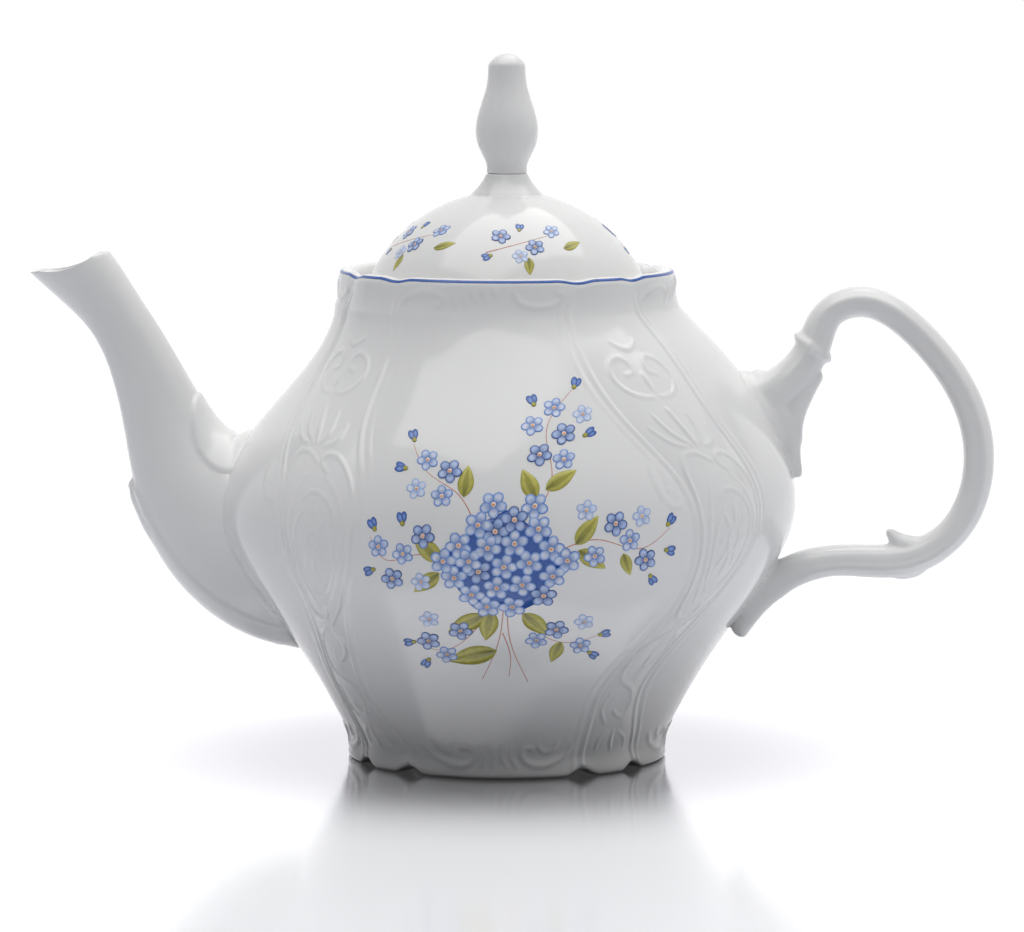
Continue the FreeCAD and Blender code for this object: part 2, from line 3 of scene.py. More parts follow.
import bmesh
import bpy
import numpy as np
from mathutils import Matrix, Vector


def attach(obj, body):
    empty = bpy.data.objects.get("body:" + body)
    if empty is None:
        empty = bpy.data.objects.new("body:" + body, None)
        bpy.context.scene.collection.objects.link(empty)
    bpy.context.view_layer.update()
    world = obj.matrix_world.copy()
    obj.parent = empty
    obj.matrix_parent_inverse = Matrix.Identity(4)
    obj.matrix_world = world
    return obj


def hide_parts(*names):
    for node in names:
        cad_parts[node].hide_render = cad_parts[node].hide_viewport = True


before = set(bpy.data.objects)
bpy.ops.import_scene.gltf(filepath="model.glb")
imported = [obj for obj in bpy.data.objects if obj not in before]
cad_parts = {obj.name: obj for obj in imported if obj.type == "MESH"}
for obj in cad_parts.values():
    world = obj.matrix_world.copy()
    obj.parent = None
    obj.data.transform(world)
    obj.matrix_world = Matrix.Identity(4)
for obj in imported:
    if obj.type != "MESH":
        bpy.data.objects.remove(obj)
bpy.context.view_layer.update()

# Porcelain teapot. Lengths below are in millimetres and angles in degrees unless a name says otherwise.
MM = 0.001
QUARTER = math.pi / 2

# Pot: heights, crown radii and leans of its levels, from the waist to the shoulder
LEVEL_HEIGHTS = [6.0, 14.5, 34.0, 66.5, 92.0, 114.0, 124.5]
LEVEL_RADII = [43.4, 47.9, 59.9, 79.0, 70.6, 54.0, 46.4]
LEVEL_LEANS = [0.0, 0.0, 0.0, 0.0, 2.3, 3.2, 0.0]
FOOT_RADIUS, FOOT_HEIGHT = 44.0, 6.0
SHOULDER_HEIGHT = 124.5
RIM_RADIUS, RIM_HEIGHT = 46.0, 134.5
LOBE_HEIGHTS, LOBE_DEPTHS = [0.0, 20.0, 60.0, 100.0, 134.5], [0.75, 0.8, 1.3, 1.2, 0.9]
LOBE_DEPTH = max(LOBE_DEPTHS)
# Wide panels: turn of their middle and half angle at these heights. The narrow bands fill the gaps
PANEL_HEIGHTS = [0.0, 8.0, 16.0, 24.0, 38.0, 50.0, 60.0, 72.0, 82.0, 98.0, 116.0, 126.0, 134.5]
PANEL_TURNS = [-2.9, -4.1, -6.4, -7.6, -1.5, 3.8, 6.0, 6.6, 4.4, -4.6, -9.4, -7.9, -6.2]
PANEL_HALVES = [32.8, 33.9, 36.1, 37.6, 39.2, 38.6, 36.6, 34.8, 34.0, 32.0, 29.8, 31.2, 33.0]
WALL = 3.0
GALLERY_RADIUS, LEDGE_HEIGHT, MOUTH_RADIUS, LEDGE_THICKNESS = 41.7, 128.5, 37.1, 3.6
RING_INNER, RECESS = 36.7, 3.4
ARCH_HEIGHT, ARCH_WIDTH = 1.9, 11.0
DIP_DEPTH, DIP_WIDTH = 0.7, 12.0
STRAINER_HOLE, STRAINER_CIRCLE, STRAINER_HEIGHT = 5.0, 20.0, 60.0
STRAINER_SPAN = (-95.0, -50.0)

# Spout: x, height, tilt from upright and tall size of its sections, from inside the pot to the lip
BELLY = LEVEL_RADII[3]
SPOUT_SECTIONS = [
    (-57.7, 61.4, 102.6, 57.6),
    (-67.5, 59.2, 102.6, 57.6),
    (-BELLY - 8.7, 75.7, 51.0, 35.0),
    (-BELLY - 15.1, 91.9, 25.0, 24.0),
    (-BELLY - 20.8, 107.0, 22.6, 18.8),
    (-BELLY - 30.9, 124.7, 34.8, 17.0),
    (-BELLY - 41.3, 136.2, 15.8, 22.4),
]
SPOUT_FLATNESS = [0.72, 0.72, 0.86, 0.86, 0.86, 0.86, 0.86]
SPOUT_WALL, BORE_BEYOND = 2.6, 4.0


def smooth_curve(stops, values):
    """The natural cubic spline through values at rising stops, as a function of the stop."""
    stops, values = np.asarray(stops, float), np.asarray(values, float)
    gaps = np.diff(stops)
    count = len(stops)
    system = np.eye(count)
    pull = np.zeros_like(values)
    for i in range(1, count - 1):
        system[i, i - 1 : i + 2] = gaps[i - 1], 2 * (gaps[i - 1] + gaps[i]), gaps[i]
        pull[i] = 6 * ((values[i + 1] - values[i]) / gaps[i] - (values[i] - values[i - 1]) / gaps[i - 1])
    bend = np.linalg.solve(system, pull)

    def at(stop):
        stop = np.asarray(stop, float)
        i = np.clip(np.searchsorted(stops, stop) - 1, 0, count - 2)
        shape = stop.shape + (1,) * (values.ndim - 1)
        gap = gaps[i].reshape(shape)
        after = (stop - stops[i]).reshape(shape) / gap
        before = 1 - after
        curved = (before**3 - before) * bend[i] + (after**3 - after) * bend[i + 1]
        return before * values[i] + after * values[i + 1] + curved * gap**2 / 6

    return at


def full_turn(count):
    """Evenly spaced angles round a full turn."""
    return np.linspace(0, 2 * np.pi, count, endpoint=False)


def unit(vectors):
    """Vectors with a length of 1."""
    return vectors / np.linalg.norm(vectors, axis=-1, keepdims=True)


def step_up(value, width):
    """0 below zero, 1 above the width, and a smooth rise between them."""
    share = np.clip(value / width, 0, 1)
    return share * share * (3 - 2 * share)


def along(points):
    """How far each point of a line is from its start."""
    steps = np.linalg.norm(np.diff(np.asarray(points, float), axis=0), axis=1)
    return np.concatenate([[0], np.cumsum(steps)])


def resampled(points, spacing):
    """A line's points again, evenly spaced."""
    points = np.asarray(points, float)
    stops = along(points)
    count = max(2, int(round(stops[-1] / spacing)) + 1)
    places = np.linspace(0, stops[-1], count)
    return np.stack([np.interp(places, stops, column) for column in points.T], axis=1)


def softened(points, spread):
    """A line whose corners are rounded off over about the spread in points, with its ends kept."""
    reach = np.arange(-3 * spread, 3 * spread + 1)
    weights = np.exp(-0.5 * (reach / spread) ** 2)
    weights /= weights.sum()
    pad = 3 * spread
    head = 2 * points[0] - points[pad:0:-1]
    tail = 2 * points[-1] - points[-2 : -pad - 2 : -1]
    padded = np.concatenate([head, points, tail])
    soft = np.stack([np.convolve(column, weights, "valid") for column in padded.T], axis=1)
    soft[0], soft[-1] = points[0], points[-1]
    return soft


def arc(start, end, radius, side, count=24):
    """Points of an arc from start to end. It bows to the left of that way where side is 1."""
    start, end = np.asarray(start, float), np.asarray(end, float)
    chord = end - start
    length = np.linalg.norm(chord)
    left = np.array([-chord[1], chord[0]]) / length
    centre = (start + end) / 2 - side * left * math.sqrt(max(radius**2 - length**2 / 4, 0))
    first = math.atan2(*(start - centre)[::-1])
    last = math.atan2(*(end - centre)[::-1])
    turn = (last - first + math.pi) % (2 * math.pi) - math.pi
    angles = first + turn * np.linspace(0, 1, count)
    return [tuple(centre + radius * np.array([math.cos(a), math.sin(a)])) for a in angles]


# Pot's outside

PROFILE_STEP = 0.25
FOOT_SWEEP, SHOULDER_SWEEP, SWEEP_FADE = 4.0, 9.0, 1.6
PROFILE_HEIGHTS = np.arange(0, RIM_HEIGHT + PROFILE_STEP / 2, PROFILE_STEP)


def crown_profile():
    """The crown radius at each of the profile's heights, with the corners at waist and shoulder swept."""
    z = PROFILE_HEIGHTS
    radii = smooth_curve(LEVEL_HEIGHTS, LEVEL_RADII)(np.clip(z, FOOT_HEIGHT, SHOULDER_HEIGHT))
    foot = np.interp(z, [0, FOOT_HEIGHT], [FOOT_RADIUS, LEVEL_RADII[0]])
    collar = np.interp(z, [SHOULDER_HEIGHT, RIM_HEIGHT], [LEVEL_RADII[-1], RIM_RADIUS])
    radii = np.where(z < FOOT_HEIGHT, foot, np.where(z > SHOULDER_HEIGHT, collar, radii))
    for corner, reach in ((FOOT_HEIGHT, FOOT_SWEEP), (SHOULDER_HEIGHT, SHOULDER_SWEEP)):
        half = int(reach / PROFILE_STEP)
        weights = np.hanning(2 * half + 1)
        soft = np.convolve(np.pad(radii, half, "edge"), weights / weights.sum(), "valid")
        fade = SWEEP_FADE * reach
        radii = radii + step_up(fade - np.abs(z - corner), fade) * (soft - radii)
    return radii


CROWN = crown_profile()
SLOPE = np.gradient(CROWN, PROFILE_STEP)
lean_curve = smooth_curve(LEVEL_HEIGHTS, LEVEL_LEANS)


def crown_at(height):
    return np.interp(height, PROFILE_HEIGHTS, CROWN)


def lean_at(height):
    return lean_curve(np.clip(height, LEVEL_HEIGHTS[0], LEVEL_HEIGHTS[-1]))


turn_curve = smooth_curve(PANEL_HEIGHTS, np.radians(PANEL_TURNS))
half_curve = smooth_curve(PANEL_HEIGHTS, np.radians(PANEL_HALVES))


def turn_at(height):
    """How far the wide panels are turned at a height."""
    return turn_curve(np.clip(height, 0, RIM_HEIGHT))


def half_at(height):
    """The half angle of the wide panels at a height."""
    return half_curve(np.clip(height, 0, RIM_HEIGHT))


def from_panel(phi):
    """How far an angle is from the middle of the nearest wide panel."""
    return np.abs((phi + QUARTER / 2) % QUARTER - QUARTER / 2)


def lobed(phi, height, crown):
    """The radius at an angle from the middle of a wide panel, where the lobes' crowns have this radius."""
    local = from_panel(phi)
    panel = half_at(height)
    wide = local <= panel
    half = np.where(wide, panel, QUARTER / 2 - panel)
    turn = np.where(wide, local, QUARTER / 2 - local)
    crease = crown - np.interp(height, LOBE_HEIGHTS, LOBE_DEPTHS)
    offset = (crown**2 - crease**2) / (2 * (crown - crease * np.cos(half)))
    return offset * np.cos(turn) + np.sqrt((crown - offset) ** 2 - (offset * np.sin(turn)) ** 2)


def pot_point(phi, height, inset=0.0):
    """The point of the pot's outside at an angle from the middle of a wide panel and a height."""
    phi, height = np.broadcast_arrays(np.asarray(phi, float), np.asarray(height, float))
    radius = lobed(phi, height, crown_at(height)) - inset
    angle = phi + turn_at(height)
    x = lean_at(height) + radius * np.cos(angle)
    return np.stack([x, radius * np.sin(angle), height], axis=-1)


def pot_gap(points):
    """How far points are outside the pot, about square to its wall. It is negative inside."""
    height = np.clip(points[:, 2], 0, RIM_HEIGHT)
    x, y = points[:, 0] - lean_at(height), points[:, 1]
    radius = lobed(np.arctan2(y, x) - turn_at(height), height, crown_at(height))
    slope = np.interp(height, PROFILE_HEIGHTS, SLOPE)
    return (np.hypot(x, y) - radius) / np.sqrt(1 + slope**2)


# Meshes

def make_object(name, vertices, faces):
    """A smooth-shaded mesh object from points in millimetres."""
    mesh = bpy.data.meshes.new(name)
    mesh.from_pydata((np.asarray(vertices) * MM).tolist(), [], faces)
    built = bmesh.new()
    built.from_mesh(mesh)
    bmesh.ops.recalc_face_normals(built, faces=built.faces)
    built.to_mesh(mesh)
    built.free()
    mesh.shade_smooth()
    thing = bpy.data.objects.new(name, mesh)
    bpy.context.scene.collection.objects.link(thing)
    return thing


def ring_faces(first, count, second, other):
    """Faces between a ring of count points from index first and one of other points from index second."""
    faces = []
    ratio = max(count, other) // min(count, other)
    for i in range(min(count, other)):
        low = [first + i, first + (i + 1) % count]
        high = [second + i, second + (i + 1) % other]
        if count > other:
            low = [first + (i * ratio + k) % count for k in range(ratio + 1)]
        elif other > count:
            high = [second + (i * ratio + k) % other for k in range(ratio + 1)]
        faces.append(low + high[::-1])
    return faces


def skin(name, rings, capped=True):
    """A closed skin through rings of points, capped at both ends or joined round into a loop."""
    starts = np.concatenate([[0], np.cumsum([len(ring) for ring in rings])]).astype(int)
    points = [np.asarray(ring, float) for ring in rings]
    faces = []
    for i in range(len(rings) - 1):
        faces += ring_faces(starts[i], len(rings[i]), starts[i + 1], len(rings[i + 1]))
    if capped:
        for index, ring_index in enumerate((0, len(rings) - 1)):
            middle = int(starts[-1]) + index
            first, count = starts[ring_index], len(rings[ring_index])
            faces += [[first + i, first + (i + 1) % count, middle] for i in range(count)]
            points.append(np.mean(points[ring_index], axis=0, keepdims=True))
    else:
        faces += ring_faces(starts[len(rings) - 1], len(rings[-1]), 0, len(rings[0]))
    faces = [[int(i) for i in face] for face in faces]
    return make_object(name, np.concatenate(points), faces)


def settle(thing):
    """Applies an object's modifiers to its mesh."""
    graph = bpy.context.evaluated_depsgraph_get()
    graph.update()
    old = thing.data
    mesh = bpy.data.meshes.new_from_object(thing.evaluated_get(graph))
    thing.modifiers.clear()
    thing.data = mesh
    mesh.name = thing.name
    bpy.data.meshes.remove(old)


def carve(thing, tool, operation="DIFFERENCE"):
    """Cuts a tool out of an object, or joins it on, and removes the tool."""
    carving = thing.modifiers.new("carve", "BOOLEAN")
    carving.operation = operation
    carving.solver = "MANIFOLD"
    carving.object = tool
    settle(thing)
    bpy.data.objects.remove(tool)


def melt(thing, voxel, rounds):
    """Remeshes overlapping closed forms into one skin and smooths it, so that they flow into each other."""
    remesh = thing.modifiers.new("remesh", "REMESH")
    remesh.mode = "VOXEL"
    remesh.voxel_size = voxel * MM
    smooth = thing.modifiers.new("smooth", "SMOOTH")
    smooth.factor = 0.5
    smooth.iterations = rounds
    settle(thing)
    thing.data.shade_smooth()


def join(thing, others):
    """Adds other objects' meshes to an object's own."""
    built = bmesh.new()
    for part in [thing] + others:
        built.from_mesh(part.data)
    built.to_mesh(thing.data)
    built.free()
    for part in others:
        bpy.data.objects.remove(part)
    return thing


def read_points(thing):
    """An object's points in millimetres and their normals."""
    mesh = thing.data
    points, normals = np.empty(len(mesh.vertices) * 3), np.empty(len(mesh.vertices) * 3)
    mesh.vertices.foreach_get("co", points)
    mesh.vertices.foreach_get("normal", normals)
    return points.reshape(-1, 3) / MM, normals.reshape(-1, 3)


def write_points(thing, points):
    thing.data.vertices.foreach_set("co", (points * MM).ravel())
    thing.data.update()


def oval_ring(centre, direction, tall, wide, power=2.0, count=48):
    """Points of an oval across a direction in the XZ plane. A higher power makes it squarer."""
    turns = full_turn(count)
    c, s = np.cos(turns), np.sin(turns)
    u = np.sign(c) * np.abs(c) ** (2 / power) * tall / 2
    v = np.sign(s) * np.abs(s) ** (2 / power) * wide / 2
    side = np.array([direction[1], -direction[0]])
    x = centre[0] + u * side[0]
    z = centre[1] + u * side[1]
    return np.stack([x, v, z], axis=1)


TUBE_SPACING, TUBE_BULGE = 0.8, 0.6
BALL_TURNS, BALL_LEVELS = 32, 18


def tube(name, places, tall, wide, power=2.0):
    """A closed tube in the XZ plane along the smooth line through places, with rounded ends."""
    stops = along(places)
    spots = np.linspace(0, stops[-1], int(stops[-1] / TUBE_SPACING) + 2)
    centres = smooth_curve(stops, places)(spots)
    directions = unit(np.gradient(centres, axis=0))
    heights, widths = np.interp(spots, stops, tall), np.interp(spots, stops, wide)
    rings = [oval_ring(*section, power) for section in zip(centres, directions, heights, widths)]
    for end, step in ((0, -1), (-1, 1)):
        dome = []
        for turn in np.radians([25, 50, 75]):
            centre = centres[end] + step * directions[end] * math.sin(turn) * TUBE_BULGE * heights[end] / 2
            size = math.cos(turn)
            dome.append(oval_ring(centre, directions[end], heights[end] * size, widths[end] * size, power))
        rings = rings + dome if step > 0 else dome[::-1] + rings
    return skin(name, rings)


def ball(name, centre, halves, direction=(0.0, 1.0)):
    """An ellipsoid in the XZ plane: half sizes along a direction, square to it in the plane, and along Y."""
    direction = unit(np.asarray(direction, float))
    rings = []
    for turn in np.linspace(-np.pi / 2, np.pi / 2, BALL_LEVELS)[1:-1]:
        middle = np.asarray(centre, float) + direction * halves[0] * math.sin(turn)
        size = 2 * math.cos(turn)
        rings.append(oval_ring(middle, direction, halves[1] * size, halves[2] * size, count=BALL_TURNS))
    return skin(name, rings)


# Pot

COLUMNS_WIDE, COLUMNS_NARROW, POT_ROWS = 90, 60, 220
THINNED = 3


def pot_columns(height):
    """Angles of the pot's columns from the middle of a wide panel, which follow the creases up the pot."""
    half = half_at(height)
    wide = half * np.linspace(-1, 1, COLUMNS_WIDE, endpoint=False)
    narrow = QUARTER / 2 + (QUARTER / 2 - half) * np.linspace(-1, 1, COLUMNS_NARROW, endpoint=False)
    quarter = np.concatenate([wide, narrow])
    return np.concatenate([quarter + QUARTER * k for k in range(4)])


def near_creases(phi, height, radius, width):
    """1 at the eight creases, falling to 0 at half the width to each side of them."""
    local = from_panel(phi)
    distance = np.abs(local - half_at(height)) * radius
    return np.cos(np.clip(distance / (width / 2), 0, 1) * np.pi / 2) ** 2


def hump(distance, width):
    """1 on a line of relief, falling softly to 0 at half its width to each side."""
    return np.clip(1 - (2 * distance / width) ** 2, 0, 1) ** 2


def stroke_relief(across, heights, path, width, height):
    """The relief of one stroke, tapered at both ends, over a grid of places across a panel and up it."""
    line = resampled(smooth_curve(along(path), path)(np.linspace(0, along(path)[-1], 80)), 0.5)
    taper = 0.4 + 0.6 * np.sin(np.pi * np.linspace(0.12, 0.8, len(line)))
    relief = np.zeros_like(across)
    low, high = line.min(axis=0) - width, line.max(axis=0) + width
    near = (across > low[0]) & (across < high[0]) & (heights > low[1]) & (heights < high[1])
    spots = np.stack([across[near], heights[near]], axis=1)
    if len(spots):
        distance = np.linalg.norm(spots[:, None] - line[None], axis=2)
        closest = np.argmin(distance, axis=1)
        reach = distance[np.arange(len(spots)), closest]
        relief[near] = height * taper[closest] ** 0.5 * hump(reach, width * taper[closest])
    return relief


def scroll(height, share, tall, start, end, count=9):
    """Places along an oval in a narrow band, from one angle to another."""
    turns = np.radians(np.linspace(start, end, count))
    return [(share * math.cos(turn), height + tall * math.sin(turn)) for turn in turns]


def both_sides(strokes, shift=0.0):
    """Strokes on both sides of a place across, as mirror images."""
    sided = []
    for path, width, rise in strokes:
        for side in (-1, 1):
            sided.append(([(shift + side * place, z) for place, z in path], width, rise))
    return sided


# Relief strokes: a line of (place across, height), its width and how far it stands out. In the narrow
# bands the place is a share of the band's half width, in the wide panels it is millimetres from the middle
ROSETTE_HEIGHT = 66
BAND_STROKES = [
    ([(0.05, 87), (-0.25, 89.5), (-0.6, 87.5), (-0.82, 80), (-0.86, 68),
      (-0.84, 57), (-0.75, 49), (-0.35, 44.5), (0.1, 45), (0.15, 48)], 1.9, 0.5),
    ([(0.3, 84.5), (0.15, 87), (0.42, 89), (0.7, 85.5), (0.84, 76),
      (0.86, 64), (0.82, 54), (0.62, 46.5), (0.3, 43)], 1.9, 0.5),
    ([(-0.3, 77.5), (-0.05, 79.5), (0.3, 77.5), (0.5, 70),
      (0.5, 61), (0.35, 54), (-0.05, 51.5), (-0.25, 53)], 1.5, 0.4),
    ([(-0.28, 74.5), (-0.48, 70), (-0.52, 62), (-0.42, 55.5)], 1.5, 0.36),
    (scroll(ROSETTE_HEIGHT, 0.68, 18.6, 105, 245), 1.2, 0.3),
    (scroll(ROSETTE_HEIGHT, 0.68, 18.6, -75, 70), 1.2, 0.3),
    (scroll(ROSETTE_HEIGHT, 0.16, 3.4, 0, 360, 13), 1.5, 0.42),
    ([(0.0, 91.5), (0.02, 95), (0.0, 100.5)], 2.4, 0.45),
    ([(0.0, 106), (0.0, 109.5)], 2.2, 0.45),
    ([(-0.3, 118), (0.0, 116), (0.3, 118)], 1.5, 0.36),
    ([(-0.1, 41.5), (-0.6, 38), (-0.72, 32.5), (-0.35, 27.5),
      (0.3, 25), (0.6, 20.5), (0.2, 16.5), (-0.15, 18.5)], 1.7, 0.46),
    ([(0.25, 40.5), (0.62, 37.5), (0.6, 33), (0.2, 31.5), (0.08, 34)], 1.6, 0.42),
    ([(-0.45, 23.5), (-0.65, 19.5), (-0.4, 15)], 1.5, 0.38),
    ([(0.0, 12.5), (-0.05, 9.5), (0.0, 7)], 1.8, 0.4),
]
BAND_STROKES += both_sides([
    ([(0.1, 91.5), (0.3, 94.5), (0.38, 99)], 1.9, 0.4),
    ([(0.2, 91), (0.5, 92.5), (0.65, 96)], 1.7, 0.36),
    ([(0.08, 104), (0.4, 104.5), (0.62, 108.5), (0.5, 113),
      (0.22, 113.5), (0.16, 110.5), (0.34, 109.5)], 1.6, 0.42),
    ([(0.2, 12), (0.5, 10), (0.55, 7.5)], 1.5, 0.36),
])
for petal in range(0, 360, 45):
    petal_foot = scroll(ROSETTE_HEIGHT, 0.24, 5.0, petal, petal, 1)
    petal_tip = scroll(ROSETTE_HEIGHT, 0.38, 9.2, petal, petal, 1)
    BAND_STROKES.append((petal_foot + petal_tip, 1.8, 0.36))
FOOT_SCROLL_MIDDLE = 2.0
FOOT_SCROLL = both_sides([
    ([(21.0, 9.4), (18.6, 6.8), (13.6, 4.2), (8.8, 4.0), (6.4, 6.2), (7.4, 8.8), (9.6, 8.6)], 2.3, 0.5),
    ([(11.2, 9.6), (12.4, 7.6), (15.4, 8.4), (17.0, 10.2)], 2.0, 0.42),
    ([(2.0, 9.8), (0.9, 6.8), (2.0, 3.8)], 1.9, 0.45),
    ([(4.4, 9.4), (3.3, 6.6), (4.6, 3.8)], 1.9, 0.45),
], FOOT_SCROLL_MIDDLE)
COLLAR_SCROLL = [
    ([(8.8, 131.2), (10.5, 128.8), (15.5, 127.2), (20.5, 128.2), (22.6, 130.4), (20.6, 131.0)], 2.0, 0.45),
    ([(-23.4, 125.6), (-22.0, 128.4), (-17.5, 130.6),
      (-12.0, 130.6), (-9.4, 128.6), (-11.2, 127.2)], 2.0, 0.45),
]
for bar in range(5):
    bar_line = [(2.7 * bar - 6.2, 127.4 + 0.6 * bar), (2.7 * bar - 7.4, 130.6 + 0.4 * bar)]
    COLLAR_SCROLL.append((bar_line, 1.8, 0.38))
# C-scroll on a wide panel, in millimetres from its crease
EDGE_SCROLL = [
    ([(-1.2, 88.0), (-4.5, 87.0), (-7.8, 82.5), (-7.6, 77.5), (-4.8, 75.6), (-3.6, 77.6)], 1.6, 0.42),
    ([(-1.5, 84.0), (-4.2, 82.4), (-5.0, 80.2)], 1.3, 0.34),
    ([(-1.5, 74.0), (-4.2, 70.0), (-4.8, 64.0), (-3.2, 58.5)], 1.3, 0.32),
]
RIB_WIDTH, RIB_RISE = 2.0, 0.55
SIDE_RIB_OFFSET, SIDE_RIB_WIDTH, SIDE_RIB_RISE = 2.6, 1.5, 0.26
# How far below the rim the ribs end, and the height over which they fade
RIB_END, RIB_FADE = 3.0, 6.0
# Place across of a column that no stroke reaches
FAR = 999


def band_half(height):
    """Half the width of the narrow bands at a height."""
    return float((QUARTER / 2 - half_at(height)) * crown_at(height))


def pot_relief(heights):
    """How far the relief stands out over one quarter of the pot's columns, at each height."""
    up = heights[:, None]
    half = half_at(up)
    radius = crown_at(up) - LOBE_DEPTH / 2
    phi = np.stack([pot_columns(height)[: COLUMNS_WIDE + COLUMNS_NARROW] for height in heights])
    up = up + 0 * phi
    wide = phi < half - 1e-9
    from_crease = np.minimum(np.abs(phi - half), np.abs(phi - (QUARTER - half)))
    from_crease = np.minimum(from_crease, np.abs(phi + half)) * radius
    faded = np.clip((RIM_HEIGHT - RIB_END - up) / RIB_FADE, 0, 1)
    relief = RIB_RISE * hump(from_crease, RIB_WIDTH) * faded
    side_rib = SIDE_RIB_RISE * hump(np.abs(from_crease - SIDE_RIB_OFFSET), SIDE_RIB_WIDTH) * faded
    relief = np.maximum(relief, np.where(wide, side_rib, 0))
    band_strokes = []
    for path, width, rise in BAND_STROKES:
        band_strokes.append(([(place * band_half(z), z) for place, z in path], width, rise))
    in_band = np.where(wide, FAR, (phi - QUARTER / 2) * radius)
    on_panel = np.where(wide, phi * radius, FAR)
    at_edge = np.where(wide, (phi - half) * radius, FAR)
    groups = ((in_band, band_strokes), (on_panel, COLLAR_SCROLL + FOOT_SCROLL), (at_edge, EDGE_SCROLL))
    for across, strokes in groups:
        for path, width, rise in strokes:
            relief = np.maximum(relief, stroke_relief(across, up, np.array(path), width, rise))
    return relief


# Height at which the outside starts above the foot's rounded edge, and the height of the rim's rounding
FOOT_ROUND, RIM_ROUND = 1.4, 1.8
# Rounded edges: how far the foot's is back from the outside and above the arches, the gallery's in from its
# wall and above the ledge, and the mouth's out from its wall and below the ledge
FOOT_EDGE = ((1.5, 0.0), (0.8, 0.12), (0.3, 0.45), (0.08, 0.85))
GALLERY_EDGE = ((0.0, 0.8), (0.25, 0.25), (0.8, 0.0))
MOUTH_EDGE = ((0.9, 0.0), (0.25, 0.25), (0.0, 0.9))
FLOOR_THICKNESS = 5.0


def rim_section():
    """The rim's angles and dips, and the middle and half of its thickness there."""
    phi = pot_columns(RIM_HEIGHT)
    dip = DIP_DEPTH * near_creases(phi, RIM_HEIGHT, RIM_RADIUS, DIP_WIDTH)
    outer = lobed(phi, RIM_HEIGHT, RIM_RADIUS + 0 * phi)
    return phi, dip, (outer + GALLERY_RADIUS) / 2, (outer - GALLERY_RADIUS) / 2


def make_pot():
    """The pot: outside with relief, foot ring, rim, gallery and hollow, as one closed skin."""
    def ring(angles, radius, height):
        radius, height = radius + 0 * angles, height + 0 * angles
        around = angles + turn_at(0.0)
        x = lean_at(height) + radius * np.cos(around)
        return np.stack([x, radius * np.sin(around), height], axis=1)

    phi = pot_columns(0.0)
    few = phi[::THINNED]
    arch = ARCH_HEIGHT * near_creases(phi, 0.0, FOOT_RADIUS, ARCH_WIDTH)
    few_arch = arch[::THINNED]
    rings = [ring(few, radius, RECESS) for radius in (10.0, 20.0, 29.0, RING_INNER - 0.7)]
    rings.append(ring(few, RING_INNER - 0.2, RECESS - 0.3))
    rings.append(ring(few, RING_INNER, 2.4))
    rings.append(ring(few, RING_INNER + 0.3, few_arch + 0.4))
    rings.append(ring(few, RING_INNER + 1.2, few_arch))
    rings.append(ring(phi, RING_INNER + 2.4, arch))
    outer = lobed(phi, 0.0, crown_at(1.0) + 0 * phi)
    for back, lift in FOOT_EDGE:
        rings.append(ring(phi, outer - back, arch + lift))

    line = resampled(np.stack([PROFILE_HEIGHTS, CROWN], axis=1), 0.05)
    rise = along(line)
    low, high = np.interp([FOOT_ROUND, RIM_HEIGHT - RIM_ROUND], line[:, 0], rise)
    heights = np.interp(np.linspace(low, high, POT_ROWS), rise, line[:, 0])
    rim_phi, dip, middle, half = rim_section()
    grid = []
    for height in heights:
        foot_share = np.clip((FOOT_HEIGHT - height) / (FOOT_HEIGHT - FOOT_ROUND), 0, 1)
        rim_share = np.clip((height - SHOULDER_HEIGHT) / (RIM_HEIGHT - SHOULDER_HEIGHT), 0, 1)
        level = pot_point(pot_columns(height), height)
        level[:, 2] += foot_share * arch - rim_share * dip
        grid.append(level)
    grid = np.array(grid)
    round_the_pot = np.roll(grid, -1, axis=1) - np.roll(grid, 1, axis=1)
    normals = unit(np.cross(round_the_pot, np.gradient(grid, axis=0)))
    grid += normals * np.tile(pot_relief(heights), 4)[:, :, None]
    rings += list(grid)

    around = rim_phi + (turn_at(RIM_HEIGHT) - turn_at(0.0))
    few = around[::THINNED]
    for turn in np.radians(np.linspace(15, 165, 9)):
        height = RIM_HEIGHT - dip - RIM_ROUND * (1 - math.sin(turn))
        rings.append(ring(around, middle + half * math.cos(turn), height))
    rings.append(ring(around, GALLERY_RADIUS, RIM_HEIGHT - 3.0))
    for inward, lift in GALLERY_EDGE:
        rings.append(ring(around, GALLERY_RADIUS - inward, LEDGE_HEIGHT + lift))
    for outward, drop in MOUTH_EDGE:
        rings.append(ring(few, MOUTH_RADIUS + outward, LEDGE_HEIGHT - drop))
    inner_heights = [RECESS + FLOOR_THICKNESS] + LEVEL_HEIGHTS[1:-1] + [LEDGE_HEIGHT - LEDGE_THICKNESS]
    inner_radii = [radius - LOBE_DEPTH - WALL for radius in LEVEL_RADII[:-1]] + [MOUTH_RADIUS]
    inside = smooth_curve(inner_heights, inner_radii)
    for height in np.linspace(inner_heights[-1], inner_heights[0], 34):
        rings.append(ring(few, inside(height), height))
    for share in (0.93, 0.6, 0.3):
        rings.append(ring(few, inner_radii[0] * share, inner_heights[0] - 0.5 * (1 - share)))
    return skin("porcelain_pot", rings)


def pot_core(inset):
    """The pot's outside as a plain solid, set in by some millimetres, to trim what is luted to the pot."""
    phi = full_turn(240)
    return skin("core", [pot_point(phi, height, inset) for height in np.linspace(2, RIM_HEIGHT - 8, 120)])


def drill(thing, centre, diameter, axis, span, count=32):
    """Drills a round hole along an axis, between two places on it."""
    turns = full_turn(count)
    circle = np.stack([np.cos(turns), np.sin(turns)], axis=1) * diameter / 2 + np.array(centre)
    carve(thing, skin("drill", [np.insert(circle, axis, place, axis=1) for place in span]))


